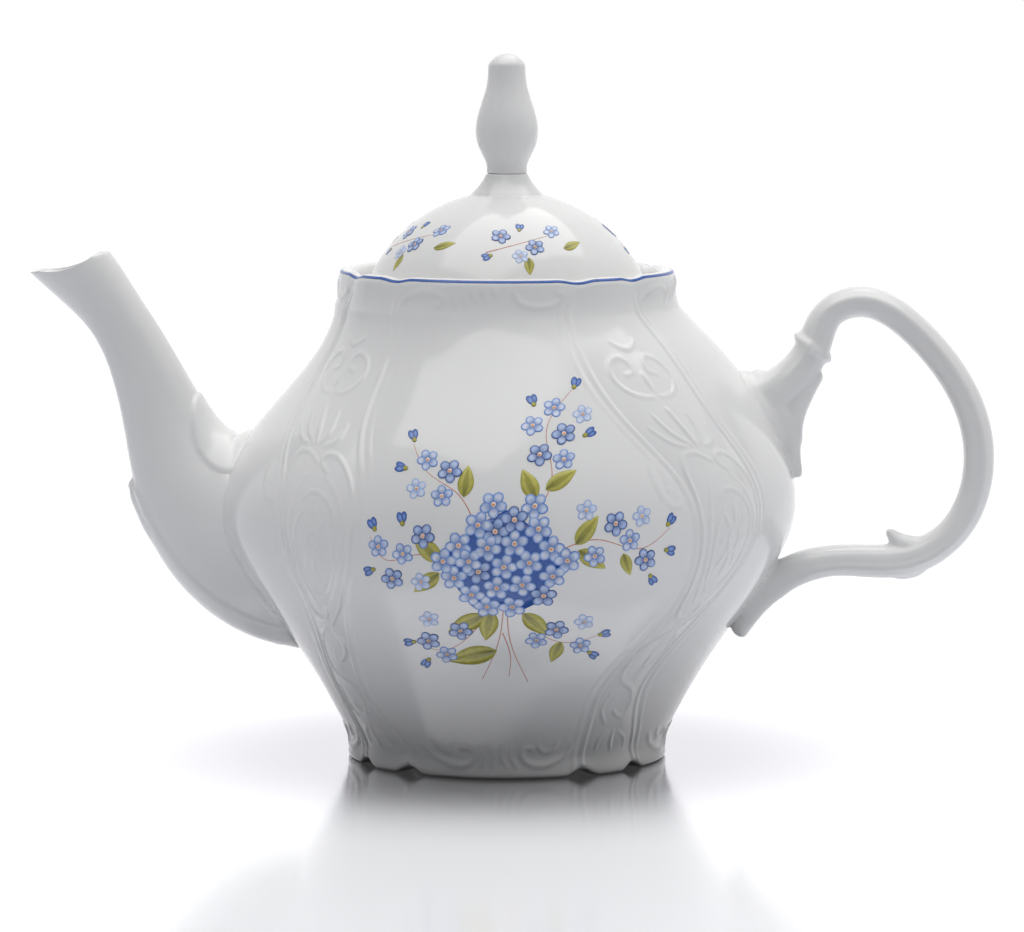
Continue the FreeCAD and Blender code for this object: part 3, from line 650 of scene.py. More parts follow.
def drill_strainer(pot):
    """Seven holes through the wall inside the root of the spout."""
    spots = [(0.0, STRAINER_HEIGHT)]
    for turn in np.radians(np.arange(30, 390, 60)):
        reach = STRAINER_CIRCLE / 2
        spots.append((reach * math.cos(turn), STRAINER_HEIGHT + reach * math.sin(turn)))
    for spot in spots:
        drill(pot, spot, STRAINER_HOLE, 0, STRAINER_SPAN)


# Spout and handle

def heading(tilt):
    """The direction in the XZ plane that leans from straight up towards -X by an angle."""
    return np.stack([-np.sin(np.radians(tilt)), np.cos(np.radians(tilt))], axis=-1)


SPOUT_TABLE = np.array(SPOUT_SECTIONS)
SPOUT_STOPS = along(SPOUT_TABLE[:, :2])
spout_curve = smooth_curve(SPOUT_STOPS, np.column_stack([SPOUT_TABLE, SPOUT_FLATNESS]))


def spout_tube(name, thinner, beyond):
    """The spout's outside, or its bore where it is made thinner by the wall on each side."""
    rings = []
    for stop in np.linspace(0, SPOUT_STOPS[-1], 110):
        x, z, tilt, tall, flatness = spout_curve(stop)
        wide = tall * flatness
        rings.append(oval_ring((x, z), heading(tilt), tall - 2 * thinner, wide - 2 * thinner, count=72))
    last = rings[-1]
    rings.append(last + np.array([heading(tilt)[0], 0, heading(tilt)[1]]) * beyond)
    return skin(name, rings)


KEEL_WIDTH, KEEL_DEPTH, KEEL_INSET, KEEL_BOW = 14.0, 7.0, 3.2, 4.4
KEEL_TIP_LENGTH, KEEL_TIP_WIDTH, KEEL_KNOB = 12.4, 5.0, 5.6
KEEL_BORDER, KEEL_RAISED, KEEL_FADE = 8.0, 0.8, 42.0
TOP_LEAF_BORDER, TOP_LEAF_RAISED, TOP_LEAF_FADE = 8.5, 0.8, 15.0
TOP_LEAF_TIP = (-85.0, 100.5)
LEAF_STEP = 1.3
# Hollow of the spout's sides: its depth, how far it keeps from root, lip and leaves, and how it fades there
FLUTE_DEPTH = 0.5
FLUTE_FROM_ROOT, FLUTE_ROOT_FADE = 20.0, 20.0
FLUTE_FROM_LIP, FLUTE_LIP_FADE = 6.0, 24.0
FLUTE_FROM_LEAF, FLUTE_LEAF_FADE = 3.0, 5.0
# How deep in the pot's wall the luted pieces end, and how far and how much the spout's foot is swept out
ROOTED = 2.6
FLARE_REACH, FLARE_RISE = 6.0, 1.2
LIP_SCOOP_CENTRE, LIP_SCOOP_DIAMETER, LIP_SCOOP_SPAN = (-125.7, 154.2), 41.0, (-20.0, 20.0)
# Fineness of the remeshing and rounds of smoothing
SPOUT_VOXEL, SPOUT_ROUNDS = 0.6, 6
HANDLE_VOXEL, HANDLE_ROUNDS = 0.45, 8


def make_keel():
    """The leaf along the spout's underside, which ends in a small knob."""
    edge, low = [], []
    for x, z, tilt, tall in SPOUT_SECTIONS[1:4]:
        direction = heading(tilt)
        down = -np.array([direction[1], -direction[0]])
        edge.append(np.array([x, z]) + down * tall / 2)
        low.append(edge[-1] - down * KEEL_INSET)
    chord = unit(low[1] - low[0])
    outward = np.array([-chord[1], chord[0]])
    middle = (low[0] + low[1]) / 2 + outward * KEEL_BOW
    tip = edge[1] + unit(edge[2] - edge[1]) * KEEL_TIP_LENGTH
    path = [low[0], middle, low[1], tip]
    leaf = tube("keel", path, [KEEL_DEPTH] * 3 + [KEEL_TIP_WIDTH], [KEEL_WIDTH] * 3 + [KEEL_TIP_WIDTH])
    return [leaf, ball("keel_knob", tip, [KEEL_KNOB / 2] * 3)], tip


def nearest_on(line, points):
    """Index of the place on a closely spaced line in the XZ plane that is nearest to each point."""
    return np.argmin(((points[:, None, ::2] - line[None]) ** 2).sum(axis=2), axis=1)


def faces_away(points, normals, places):
    """Whether each point's normal leads away from its place in the XZ plane."""
    return ((points - np.insert(places, 1, 0, axis=1)) * normals).sum(axis=1) > 0


def flare(thing, reach, height, line):
    """Sweeps the foot of a luted piece out over the pot's wall, except inside its bore."""
    points, normals = read_points(thing)
    outside = faces_away(points, normals, line[nearest_on(line, points)])
    share = np.clip(1 - np.clip(pot_gap(points), 0, None) / reach, 0, 1) ** 2
    points[outside] += normals[outside] * (height * share[outside])[:, None]
    write_points(thing, points)


def distance_to(points, line):
    """How far flat points are from a closely spaced line."""
    return np.sqrt(((points[:, None] - line[None]) ** 2).sum(axis=2).min(axis=1))


def raise_leaves(spout, keel_tip):
    """Raises the leaves under and on the spout, and hollows its sides a little between them."""
    points, normals = read_points(spout)
    flat = points[:, ::2]
    stops = np.linspace(0, SPOUT_STOPS[-1], 300)
    sections = spout_curve(stops)
    middle = sections[:, :2]
    direction = heading(sections[:, 2])
    to_top = np.stack([direction[:, 1], -direction[:, 0]], axis=1) * sections[:, 3:4] / 2
    nearest = nearest_on(middle, points)
    outside = faces_away(points, normals, middle[nearest])
    stop = stops[nearest]
    top, low = middle + to_top, middle - to_top

    def leaf(line, end, border, fade):
        last = np.argmin(((line - end) ** 2).sum(axis=1))
        narrowing = np.clip((stops[last] - stop) / fade, 0, 1) ** 0.6
        return step_up(border * narrowing - distance_to(flat, line[:last]), LEAF_STEP)

    below = leaf(low, keel_tip, KEEL_BORDER, KEEL_FADE)
    above = leaf(top, np.array(TOP_LEAF_TIP), TOP_LEAF_BORDER, TOP_LEAF_FADE)
    hollow = np.clip((stop - FLUTE_FROM_ROOT) / FLUTE_ROOT_FADE, 0, 1)
    hollow *= np.clip((SPOUT_STOPS[-1] - FLUTE_FROM_LIP - stop) / FLUTE_LIP_FADE, 0, 1)
    from_leaf = np.minimum(distance_to(flat, low), distance_to(flat, top))
    hollow *= step_up(from_leaf - FLUTE_FROM_LEAF, FLUTE_LEAF_FADE)
    change = KEEL_RAISED * below + TOP_LEAF_RAISED * above - FLUTE_DEPTH * hollow
    points[outside] += normals[outside] * change[outside][:, None]
    write_points(spout, points)


def make_spout():
    """The gooseneck spout with its bore, keel leaf and lip, trimmed inside the pot's wall."""
    spout = spout_tube("spout_gooseneck", 0.0, 0.0)
    keel, keel_tip = make_keel()
    for part in keel:
        carve(spout, part, "UNION")
    carve(spout, spout_tube("bore", SPOUT_WALL, BORE_BEYOND))
    carve(spout, pot_core(ROOTED))
    melt(spout, SPOUT_VOXEL, SPOUT_ROUNDS)
    raise_leaves(spout, keel_tip)
    flare(spout, FLARE_REACH, FLARE_RISE, spout_curve(np.linspace(0, SPOUT_STOPS[-1], 120))[:, :2])
    drill(spout, LIP_SCOOP_CENTRE, LIP_SCOOP_DIAMETER, 1, LIP_SCOOP_SPAN, 180)
    spout.data.set_sharp_from_angle(angle=math.radians(40))
    return spout


def wall_x(height):
    """X of the pot's wall on the handle's side at a height, on the lobes' crown."""
    return float(crown_at(height) + lean_at(height))


HANDLE_WIDTH, HANDLE_THICKNESS, HANDLE_POWER = 11.6, 8.4, 2.4
ROOT_HEIGHT, ROOT_DEPTH, NECK_SAG = 102.0, 10.0, 4.6
# Places on the loop from the stem round to the tail, and its thickness at the root, the neck and those
STEM, TURN, HEEL = (BELLY + 4.8, 113.0), (BELLY + 42.7, 61.4), (BELLY + 29.9, 54.6)
LOOP = [STEM, (BELLY + 9.1, 122.2), (BELLY + 16.0, 125.4), (BELLY + 34.0, 116.4), (BELLY + 50.4, 82.5)]
LOOP += [TURN, HEEL, (BELLY + 11.0, 54.2), (wall_x(47.6) + 3.2, 47.6), (wall_x(34.6) + 3.6, 34.6)]
LOOP_THICKNESS = [15.0, 11.5, 9.6] + [HANDLE_THICKNESS] * 5 + [9.4, HANDLE_THICKNESS, 9.4, 4.8]
# Bead, pad, web and knop: half sizes along their direction, square to it in the XZ plane, and along Y
BEAD, PAD, WEB, KNOP = (2.5, 6.3, 7.3), (12.5, 2.6, 8.0), (12.5, 4.8, 5.4), (6.4, 3.7, 4.6)
PAD_DROP, WEB_OUT = 6.0, 3.0
KNOP_PLACE, KNOP_WAY = (HEEL[0] + 1.2, HEEL[1] - 1.7), (1.0, 0.2)
# Hanging leaf and curl: places, and sizes in the XZ plane and along Y
HANGING = [(BELLY + 3.8, 106.0), (wall_x(90.0) + 3.6, 90.0), (wall_x(78.0) + 1.6, 77.6)]
HANGING_TALL, HANGING_WIDE = [8.4, 7.2, 2.6], [9.0, 7.4, 3.0]
CURL = [TURN, (HEEL[0] + 4.0, HEEL[1] + 3.0), (HEEL[0] - 0.4, HEEL[1] + 4.4), (BELLY + 26.0, 62.4)]
CURL_TALL, CURL_WIDE = [6.0, 7.0, 6.0, 2.4], [9.0, 9.6, 8.0, 3.4]
RIDGE_RISE, RIDGE_OFFSET, RIDGE_WIDTH = 0.45, 1.2, 3.2
# How deep the wall is that the handle's roots flow out of, and how far and how long they are smoothed
WALL_SUNK, BLEND_REACH, BLEND_ROUNDS = 0.4, 5.0, 24
# The part of that wall: ends along X and Z, and half its width
WALL_NEAR, WALL_FAR, WALL_LOW, WALL_HIGH, WALL_SIDE = 40.0, BELLY + 20, 26.0, 118.0, 16.0


def ridge(loop, line):
    """Raises a soft ridge along both sides of the handle's loop, nearer to its outer edge."""
    points, normals = read_points(loop)
    way = unit(np.gradient(line, axis=0))
    out = np.stack([-way[:, 1], way[:, 0]], axis=1)
    nearest = nearest_on(line, points)
    across = ((points[:, ::2] - line[nearest]) * out[nearest]).sum(axis=1)
    side = step_up(np.abs(points[:, 1]) - 0.25 * HANDLE_WIDTH, 2.0)
    free = step_up(pot_gap(points) - 6, 6.0)
    change = RIDGE_RISE * hump(np.abs(across - RIDGE_OFFSET), RIDGE_WIDTH) * side * free
    write_points(loop, points + normals * change[:, None])


def blend(thing, reach, rounds):
    """Smooths a piece within a reach of the pot's wall, so that it flows out of the wall."""
    points, _ = read_points(thing)
    edges = np.empty(len(thing.data.edges) * 2, int)
    thing.data.edges.foreach_get("vertices", edges)
    ends = edges.reshape(-1, 2)
    count = np.bincount(edges, minlength=len(points))[:, None]
    share = 0.5 * step_up(reach - np.abs(pot_gap(points)), reach)[:, None]
    for _ in range(rounds):
        total = np.zeros_like(points)
        np.add.at(total, ends[:, 0], points[ends[:, 1]])
        np.add.at(total, ends[:, 1], points[ends[:, 0]])
        points += share * (total / count - points)
    write_points(thing, points)


def up_the_wall(height):
    """The direction up the pot's wall on the handle's side at a height."""
    return unit(np.array([wall_x(height + 0.5) - wall_x(height - 0.5), 1.0]))


def make_handle():
    """The scroll handle: loop with bead, pad, leaf, curl, knop and tail, trimmed inside the pot's wall."""
    up = up_the_wall(ROOT_HEIGHT)
    root = np.array([wall_x(ROOT_HEIGHT), ROOT_HEIGHT]) - np.array([up[1], -up[0]]) * ROOT_DEPTH
    neck = (root + np.array(STEM)) / 2 - np.array([0, NECK_SAG])
    places = [root, neck] + LOOP
    loop = tube("handle_scroll", places, LOOP_THICKNESS, [HANDLE_WIDTH] * len(places), HANDLE_POWER)
    pad_height = ROOT_HEIGHT - PAD_DROP
    pad = np.array([wall_x(pad_height), pad_height])
    parts = [
        ball("bead", STEM, BEAD, np.array(LOOP[1]) - neck),
        ball("pad", pad, PAD, up_the_wall(pad_height)),
        ball("web", pad + [WEB_OUT, 0], WEB, up_the_wall(pad_height)),
        tube("leaf", HANGING, HANGING_TALL, HANGING_WIDE),
        tube("curl", CURL, CURL_TALL, CURL_WIDE),
        ball("knop", KNOP_PLACE, KNOP, KNOP_WAY),
    ]
    wall = pot_core(WALL_SUNK)
    corners = ((WALL_NEAR, -1), (WALL_NEAR, 1), (WALL_FAR, 1), (WALL_FAR, -1))
    block = np.array([(x, side * WALL_SIDE) for x, side in corners])
    ends = [np.insert(block, 2, height, axis=1) for height in (WALL_LOW, WALL_HIGH)]
    carve(wall, skin("block", ends), "INTERSECT")
    join(loop, parts + [wall])
    melt(loop, HANDLE_VOXEL, HANDLE_ROUNDS)
    blend(loop, BLEND_REACH, BLEND_ROUNDS)
    stops = along(places)
    ridge(loop, smooth_curve(stops, places)(np.linspace(0, stops[-1], 160)))
    carve(loop, pot_core(ROOTED))
    return loop


# Lid and knob

def revolved(name, profile, count):
    """A solid of revolution about Z from a line of (radius, height) that starts and ends on the axis."""
    turns = full_turn(count)
    rings = []
    for radius, height in profile[1:-1]:
        rings.append(np.stack([radius * np.cos(turns), radius * np.sin(turns), 0 * turns + height], axis=1))
    return skin(name, rings)


BRIM_RADIUS, BRIM_TOP = 41.1, 131.5
SKIRT_RADIUS, SKIRT_INSIDE, SKIRT_BOTTOM = 36.5, 33.7, 119.5
DOME_FOOT, DOME_RADIUS, CROWN_RADIUS, CROWN_HEIGHT = 37.9, 41.79, 9.8, 154.52
NECK_RADIUS, NECK_CURVE, NECK_HEIGHT = 5.6, 14.0, 160.5
# Step from the dome up to the neck's foot
NECK_FOOT_RADIUS, NECK_STEP = 9.3, 0.8
# Inside of the dome: height of its top, and its radius of curvature
INSIDE_TOP, INSIDE_CURVE = 150.8, 36.6
VENT_HOLE, VENT_OFFSET, VENT_SPAN = 3.2, 20.0, (135.0, 165.0)


def dome_arc(count):
    """The outside of the dome from its foot up to its crown, as (radius, height)."""
    return arc((DOME_FOOT, BRIM_TOP), (CROWN_RADIUS, CROWN_HEIGHT), DOME_RADIUS, -1, count)


def make_lid():
    """The lid: dome with neck, brim and skirt."""
    outline = arc((0, INSIDE_TOP), (SKIRT_INSIDE, LEDGE_HEIGHT), INSIDE_CURVE, 1, 40)
    outline += [(SKIRT_INSIDE, SKIRT_BOTTOM), (SKIRT_RADIUS, SKIRT_BOTTOM), (SKIRT_RADIUS, LEDGE_HEIGHT)]
    outline += [(BRIM_RADIUS, LEDGE_HEIGHT), (BRIM_RADIUS, BRIM_TOP)]
    outline += dome_arc(40)
    neck_foot = (NECK_FOOT_RADIUS, CROWN_HEIGHT + NECK_STEP)
    outline += arc(neck_foot, (NECK_RADIUS, NECK_HEIGHT), NECK_CURVE, 1)
    outline.append((0, NECK_HEIGHT))
    lid = revolved("lid_dome", softened(resampled(outline, 0.4), 1), 240)
    drill(lid, (0.0, VENT_OFFSET), VENT_HOLE, 2, VENT_SPAN)
    return lid


KNOB_HEIGHTS = [160.5, 161.7, 163.6, 167.3, 172.2, 178.5, 184.1, 187.5, 190.0]
KNOB_RADII = [5.6, 5.45, 5.85, 7.6, 8.5, 7.3, 5.6, 5.15, 5.05]
KNOB_TOP = 193.1


def make_knob():
    """The knob: a slender baluster with a low cap."""
    heights = np.linspace(KNOB_HEIGHTS[0], KNOB_HEIGHTS[-1], 100)
    profile = [(0, KNOB_HEIGHTS[0])] + list(zip(smooth_curve(KNOB_HEIGHTS, KNOB_RADII)(heights), heights))
    rise, edge = KNOB_TOP - KNOB_HEIGHTS[-1], KNOB_RADII[-1]
    profile += arc((edge, KNOB_HEIGHTS[-1]), (0, KNOB_TOP), (edge**2 + rise**2) / (2 * rise), -1)[1:]
    return revolved("knob_baluster", softened(resampled(profile, 0.35), 1), 120)


# Painted decoration

RISE = along(np.stack([PROFILE_HEIGHTS, CROWN], axis=1))
# How deep paint is sunk in the glaze, and the lift of a patch's edge as a share of its middle's
SUNK, EDGE_SHARE = 0.05, 0.7


def colour(code):
    """A linear colour with alpha from a hexadecimal one."""
    shares = np.array([int(code[i : i + 2], 16) / 255 for i in (0, 2, 4)])
    linear = np.where(shares <= 0.04045, shares / 12.92, ((shares + 0.055) / 1.055) ** 2.4)
    return np.append(linear, 1.0)


def pot_canvas(facing, height):
    """Flat places about a point of the pot's outside, as a function that gives their points and normals."""
    start = np.interp(height, PROFILE_HEIGHTS, RISE)

    def spot(angle, up):
        return pot_point(angle - turn_at(up), up)

    def place(flat):
        up = np.interp(start + flat[:, 1], RISE, PROFILE_HEIGHTS)
        angle = math.radians(facing) + flat[:, 0] / crown_at(up)
        here = spot(angle, up)
        normals = np.cross(spot(angle + 1e-3, up) - here, spot(angle, up + 0.05) - here)
        return here, unit(normals)

    return place


def lid_canvas(facing, height):
    """Flat places about a point of the lid's dome, as a function that gives their points and normals."""
    dome = np.array(dome_arc(60))
    rise = along(dome)
    start = np.interp(height, dome[:, 1], rise)

    def place(flat):
        spots = start + flat[:, 1]
        radius, up = np.interp(spots, rise, dome[:, 0]), np.interp(spots, rise, dome[:, 1])
        slope = np.gradient(dome, rise, axis=0)
        out, back = np.interp(spots, rise, slope[:, 1]), -np.interp(spots, rise, slope[:, 0])
        angle = math.radians(facing) + flat[:, 0] / radius
        here = np.stack([radius * np.cos(angle), radius * np.sin(angle), up], axis=1)
        return here, np.stack([out * np.cos(angle), out * np.sin(angle), back], axis=1)

    return place


class Paint:
    """Thin closed patches and lines of one colour family, gathered into one piece."""

    def __init__(self):
        self.points, self.faces, self.colours = [], [], []

    def add(self, points, faces, colours):
        first = sum(len(group) for group in self.points)
        self.points.append(points)
        self.faces += [[int(first + i) for i in face] for face in faces]
        self.colours.append(colours)

    def patch(self, canvas, rings, lift, colours):
        """A patch through rings of flat points, with a colour for its middle and for each ring."""
        count = len(rings[0])
        flat = np.concatenate([np.mean(rings[0], axis=0, keepdims=True)] + list(rings) + [rings[-1]])
        flat = np.concatenate([flat, flat[:1]])
        heights = np.full(len(flat), lift)
        heights[-count - 1 :] = -SUNK
        heights[-2 * count - 1 : -count - 1] = EDGE_SHARE * lift
        here, normals = canvas(flat)
        tones = [np.atleast_2d(colours[0])] + [np.broadcast_to(tone, (count, 4)) for tone in colours[1:]]
        tones += [tones[-1], tones[-1][:1]]
        faces = [[0, 1 + i, 1 + (i + 1) % count] for i in range(count)]
        for level in range(len(rings)):
            faces += ring_faces(1 + level * count, count, 1 + (level + 1) * count, count)
        bottom = 1 + len(rings) * count
        faces += [[bottom + (i + 1) % count, bottom + i, len(flat) - 1] for i in range(count)]
        self.add(here + normals * heights[:, None], faces, np.concatenate(tones))

    def line(self, canvas, path, width, lift, tone):
        """A line along a smooth path, thinner towards its end."""
        path = np.asarray(path, float)
        flat = smooth_curve(along(path), path)(np.linspace(0, along(path)[-1], 6 * len(path)))
        way = unit(np.gradient(flat, axis=0))
        aside = np.stack([-way[:, 1], way[:, 0]], axis=1)
        half = width / 2 * np.linspace(1, 0.5, len(flat))[:, None]
        rings = np.concatenate([flat + aside * half, flat, flat - aside * half])
        here, normals = canvas(rings)
        heights = np.repeat([-SUNK, lift, -SUNK], len(flat))
        count = len(flat)
        faces = []
        for i in range(count - 1):
            for low, high in ((0, 1), (1, 2), (2, 0)):
                faces.append([low * count + i, low * count + i + 1, high * count + i + 1, high * count + i])
        faces += [[0, count, 2 * count], [3 * count - 1, 2 * count - 1, count - 1]]
        self.add(here + normals * heights[:, None], faces, np.broadcast_to(tone, (3 * count, 4)))

    def piece(self, name):
        thing = make_object(name, np.concatenate(self.points), self.faces)
        tones = thing.data.color_attributes.new("tone", "FLOAT_COLOR", "POINT")
        tones.data.foreach_set("color", np.concatenate(self.colours).ravel())
        return thing


FAINT_BLUE, PALE_BLUE = colour("E3E8F4"), colour("C6D4F0")
PETAL_BLUE, LIGHT_BLUE, MID_BLUE = colour("A9C0EA"), colour("8DA9DE"), colour("5C83CB")
DEEP_BLUE, INK_BLUE = colour("2456A8"), colour("173A80")
EYE_ROSE, EYE_PALE, STEM_ROSE = colour("D9705A"), colour("F6EBCF"), colour("C98A78")
LEAF_DARK, LEAF_OLIVE, LEAF_LIGHT = colour("565A1E"), colour("A9A43C"), colour("CFC96A")
FLOWER_TURNS = 16
# A leaf's width as a share of its length, a bud's length, and a stem's width and lift
LEAF_WIDTH, BUD_LENGTH, STEM_WIDTH, STEM_LIFT = 0.48, 3.1, 0.7, 0.05
# Radius and lift of the blossoms of a spray and of the posy, and the radius of the posy's ground
BLOSSOM_SIZES = {"faint": (2.8, 0.07), "open": (3.0, 0.1), "strong": (3.3, 0.14)}
POSY_BLOSSOM, POSY_LIFT, POSY_RADIUS = 3.6, 0.13, 14.0
# Sizes of a petal's rings, and how much of the inked edge is left out at the tip of each of the five petals
PETAL_RINGS = (0.45, 0.72, 0.88, 1.0)
PETAL_LIGHT = (0.2, 0.9, 0.1, 0.7, 0.4)
# A petal's place and half sizes as shares of the blossom's radius
PETAL_OUT, PETAL_LONG, PETAL_WIDE = 0.58, 0.45, 0.4
# How far the inked middle lies below the petals, the petals over each other, and the eye above them
INK_DROP, PETAL_LIFT, EYE_LIFT = 0.03, 0.012, 0.06
BLOSSOM_TONES = {
    "strong": (INK_BLUE, LIGHT_BLUE, PALE_BLUE, INK_BLUE),
    "open": (MID_BLUE, PETAL_BLUE, FAINT_BLUE, DEEP_BLUE),
    "faint": (LIGHT_BLUE, PALE_BLUE, FAINT_BLUE, LIGHT_BLUE),
}


def turned(flat, angle):
    """Flat points turned about the origin by an angle."""
    c, s = math.cos(angle), math.sin(angle)
    return np.stack([c * flat[:, 0] - s * flat[:, 1], s * flat[:, 0] + c * flat[:, 1]], axis=1)


def ovals(centre, along_half, across_half, angle, sizes):
    """Flat rings: an oval turned by an angle, at several sizes about one centre."""
    turns = full_turn(FLOWER_TURNS)
    oval = turned(np.stack([along_half * np.cos(turns), across_half * np.sin(turns)], axis=1), angle)
    return [np.array(centre) + oval * size for size in sizes]


def paint_blossom(paints, canvas, centre, radius, turn, kind, lift):
    """An open blossom of five round petals over an inked middle."""
    edge, body, heart, ink = BLOSSOM_TONES[kind]
    paints["blue"].patch(canvas, ovals(centre, radius, radius, 0, (0.4, 0.66)), lift - INK_DROP, [ink] * 3)
    facing = np.cos(full_turn(FLOWER_TURNS))[:, None]
    inner, outer = np.clip(-facing, 0, 1), np.clip(facing, 0, 1)
    for k in range(5):
        angle = turn + 2 * math.pi * k / 5
        spot = np.array(centre) + PETAL_OUT * radius * np.array([math.cos(angle), math.sin(angle)])
        rings = ovals(spot, PETAL_LONG * radius, PETAL_WIDE * radius, angle, PETAL_RINGS)
        fresh = heart + (body - heart) * (0.2 + 0.3 * (k * 2 % 5) / 2)
        tones = [fresh, fresh + (heart - fresh) * 0.7 * outer + (ink - fresh) * 0.4 * inner]
        tones += [body + (ink - body) * 0.5 * inner, edge + (body - edge) * PETAL_LIGHT[k] * outer, edge]
        paints["blue"].patch(canvas, rings, lift + PETAL_LIFT * (k % 3), tones)
    eye = ovals(centre, radius, radius, 0, (0.2,))
    paints["rose"].patch(canvas, eye, lift + EYE_LIFT, [EYE_ROSE, EYE_PALE])


def paint_bud(paints, canvas, centre, length, angle):
    """A closed bud: two dark petals in a small green cup."""
    centre, way = np.array(centre, float), np.array([math.cos(angle), math.sin(angle)])
    for side in (-1, 1):
        middle = centre + 0.16 * length * side * np.array([-way[1], way[0]])
        rings = ovals(middle, 0.5 * length, 0.3 * length, angle + 0.25 * side, (0.5, 0.85, 1.0))
        paints["blue"].patch(canvas, rings, 0.08 + 0.015 * side, [LIGHT_BLUE, MID_BLUE, DEEP_BLUE, INK_BLUE])
    cup = ovals(centre - 0.5 * length * way, 0.26 * length, 0.22 * length, angle, (0.6, 1.0))
    paints["leaf"].patch(canvas, cup, 0.12, [LEAF_OLIVE, LEAF_OLIVE, LEAF_DARK])


def paint_leaf(paints, canvas, base, length, angle):
    """A pointed leaf, dark along its rib and pale at its edge."""
    shares = np.linspace(0, 1, 10)
    half = 0.5 * LEAF_WIDTH * length * np.sin(np.pi * shares**0.8) ** 0.9
    upper = np.stack([shares * length, half], axis=1)
    outline = np.concatenate([upper, (upper * [1, -1])[-2:0:-1]])
    rings = []
    for size in (0.12, 0.55, 1.0):
        rings.append(np.array(base) + turned(outline * [0.9 + 0.1 * size, size], angle))
    fade = np.clip(outline[:, :1] / length, 0, 1)
    rib = LEAF_DARK + (LEAF_OLIVE - LEAF_DARK) * fade
    blade = LEAF_OLIVE + (LEAF_LIGHT - LEAF_OLIVE) * fade
    paints["leaf"].patch(canvas, rings, 0.07, [LEAF_OLIVE, rib, blade, LEAF_OLIVE])


# Bouquet on the pot, in millimetres right and up from its middle
POSY = [(0, 0), (6.6, 1.2), (2.6, 6.4), (-4.4, 5.2), (-6.6, -1.4), (-1.8, -6.4), (4.8, -5.4)]
POSY += [(12.8, -2.8), (12.2, 4.8), (8.6, 10.2), (2.2, 12.6), (-7.2, 11.2), (-12.0, 5.8), (-13.0, -3.4)]
POSY += [(-8.4, -8.6), (2.2, -12.6), (10.4, -9.0), (-3.6, 16.6), (16.6, 1.6), (-16.0, 1.4), (7.2, 16.2)]
POSY += [(-4.4, -12.6), (-2.6, 9.6), (-9.2, 1.6)]
# Sprays: stem, blossoms of three kinds, buds with their angles, leaves with their lengths and angles
SPRAYS = [
    ([(4, 9), (11, 24), (8, 38), (14, 50)], [(7.0, 30.5), (12.8, 36.6)],
     [(4.2, 39.2), (13.6, 29.0), (9.4, 44.6)], [(17.4, 42.4)],
     [(15.2, 52.4, 70), (3.4, 47.2, 110), (20.0, 36.8, 30)],
     [(9.6, 20.5, 9.5, 35), (7.4, 18.0, 9.5, 118)]),
    ([(12, 3), (25, 7), (37, 4), (46, 9)], [(29.4, 11.0), (38.8, 0.8)], [(24.0, 2.6), (33.8, 6.4)],
     [(37.0, 12.6), (21.0, 14.8)],
     [(46.4, 11.2, 50), (46.8, 2.8, -10), (41.4, -5.6, -60)],
     [(18.6, 5.8, 9.5, 52), (19.4, 4.4, 9.5, -35), (32.0, 3.0, 7.0, -70)]),
    ([(-12, -2), (-23, 3), (-32, 1), (-37, 7)], [(-21.8, 8.0), (-30.2, -4.4)],
     [(-27.2, 3.0), (-34.4, 4.6)], [(-22.0, -5.0)],
     [(-36.6, 10.6, 120), (-37.4, -2.6, 200), (-28.0, 12.6, 100)],
     [(-16.4, 1.2, 10.5, 140), (-17.0, -2.0, 9.5, 222)]),
    ([(-7, 9), (-14, 20), (-22, 25), (-27, 33)], [(-16.0, 25.6)], [(-22.4, 28.6), (-17.4, 18.6)],
     [(-24.6, 20.4)],
     [(-27.6, 35.8, 110), (-30.0, 26.2, 170)], [(-11.5, 18.4, 9.0, 88)]),
    ([(-2, -10), (-9, -23), (-17, -29), (-23, -27)], [(-11.6, -21.4), (-20.4, -25.6)],
     [(-15.4, -30.4)], [(-20.0, -17.6)],
     [(-26.2, -26.6, 190), (-21.4, -34.0, 240)],
     [(-5.0, -15.4, 12.0, 214), (-3.4, -14.0, 11.0, 262)]),
    ([(3, -10), (8, -21), (16, -26), (25, -24)], [(13.8, -21.0)], [(8.4, -24.8), (20.4, -27.4)],
     [(21.4, -18.6)],
     [(27.6, -23.4, 10), (24.2, -31.2, -40)], [(5.0, -14.8, 11.0, 310), (15.0, -25.6, 8.0, 250)]),
    ([(0, -11), (-1.5, -25), (-6, -39)], [], [], [], [], [(-2.0, -28.5, 14.0, 198)]),
    ([(1, -11), (1.5, -25), (6, -40)], [], [], [], [], []),
    ([(-0.5, -22), (1.5, -31), (1, -38)], [], [], [], [], []),
]
LID_SPRAY = [
    ([(-9, -3), (0, 0), (9, 3)], [(-4.6, 2.8), (4.4, -1.2)], [(9.6, 4.4)], [(0.2, -4.2)],
     [(-9.0, -4.4, 200), (0.8, 6.4, 80)],
     [(2.4, -4.6, 5.5, 270), (12.6, -2.0, 6.0, 20)]),
]


def paint_sprays(paints, canvas, sprays, size):
    """Sprays of blossoms, buds and leaves on their stems."""
    for stem, strong, opened, faint, buds, leaves in sprays:
        paints["rose"].line(canvas, stem, STEM_WIDTH, STEM_LIFT, STEM_ROSE)
        for x, y, length, angle in leaves:
            paint_leaf(paints, canvas, (x, y), length, math.radians(angle))
        for kind, spots in (("faint", faint), ("open", opened), ("strong", strong)):
            radius, lift = BLOSSOM_SIZES[kind]
            for number, spot in enumerate(spots):
                paint_blossom(paints, canvas, spot, radius * size, 0.3 + 0.9 * number + radius, kind, lift)
        for x, y, angle in buds:
            paint_bud(paints, canvas, (x, y), BUD_LENGTH * size, math.radians(angle))


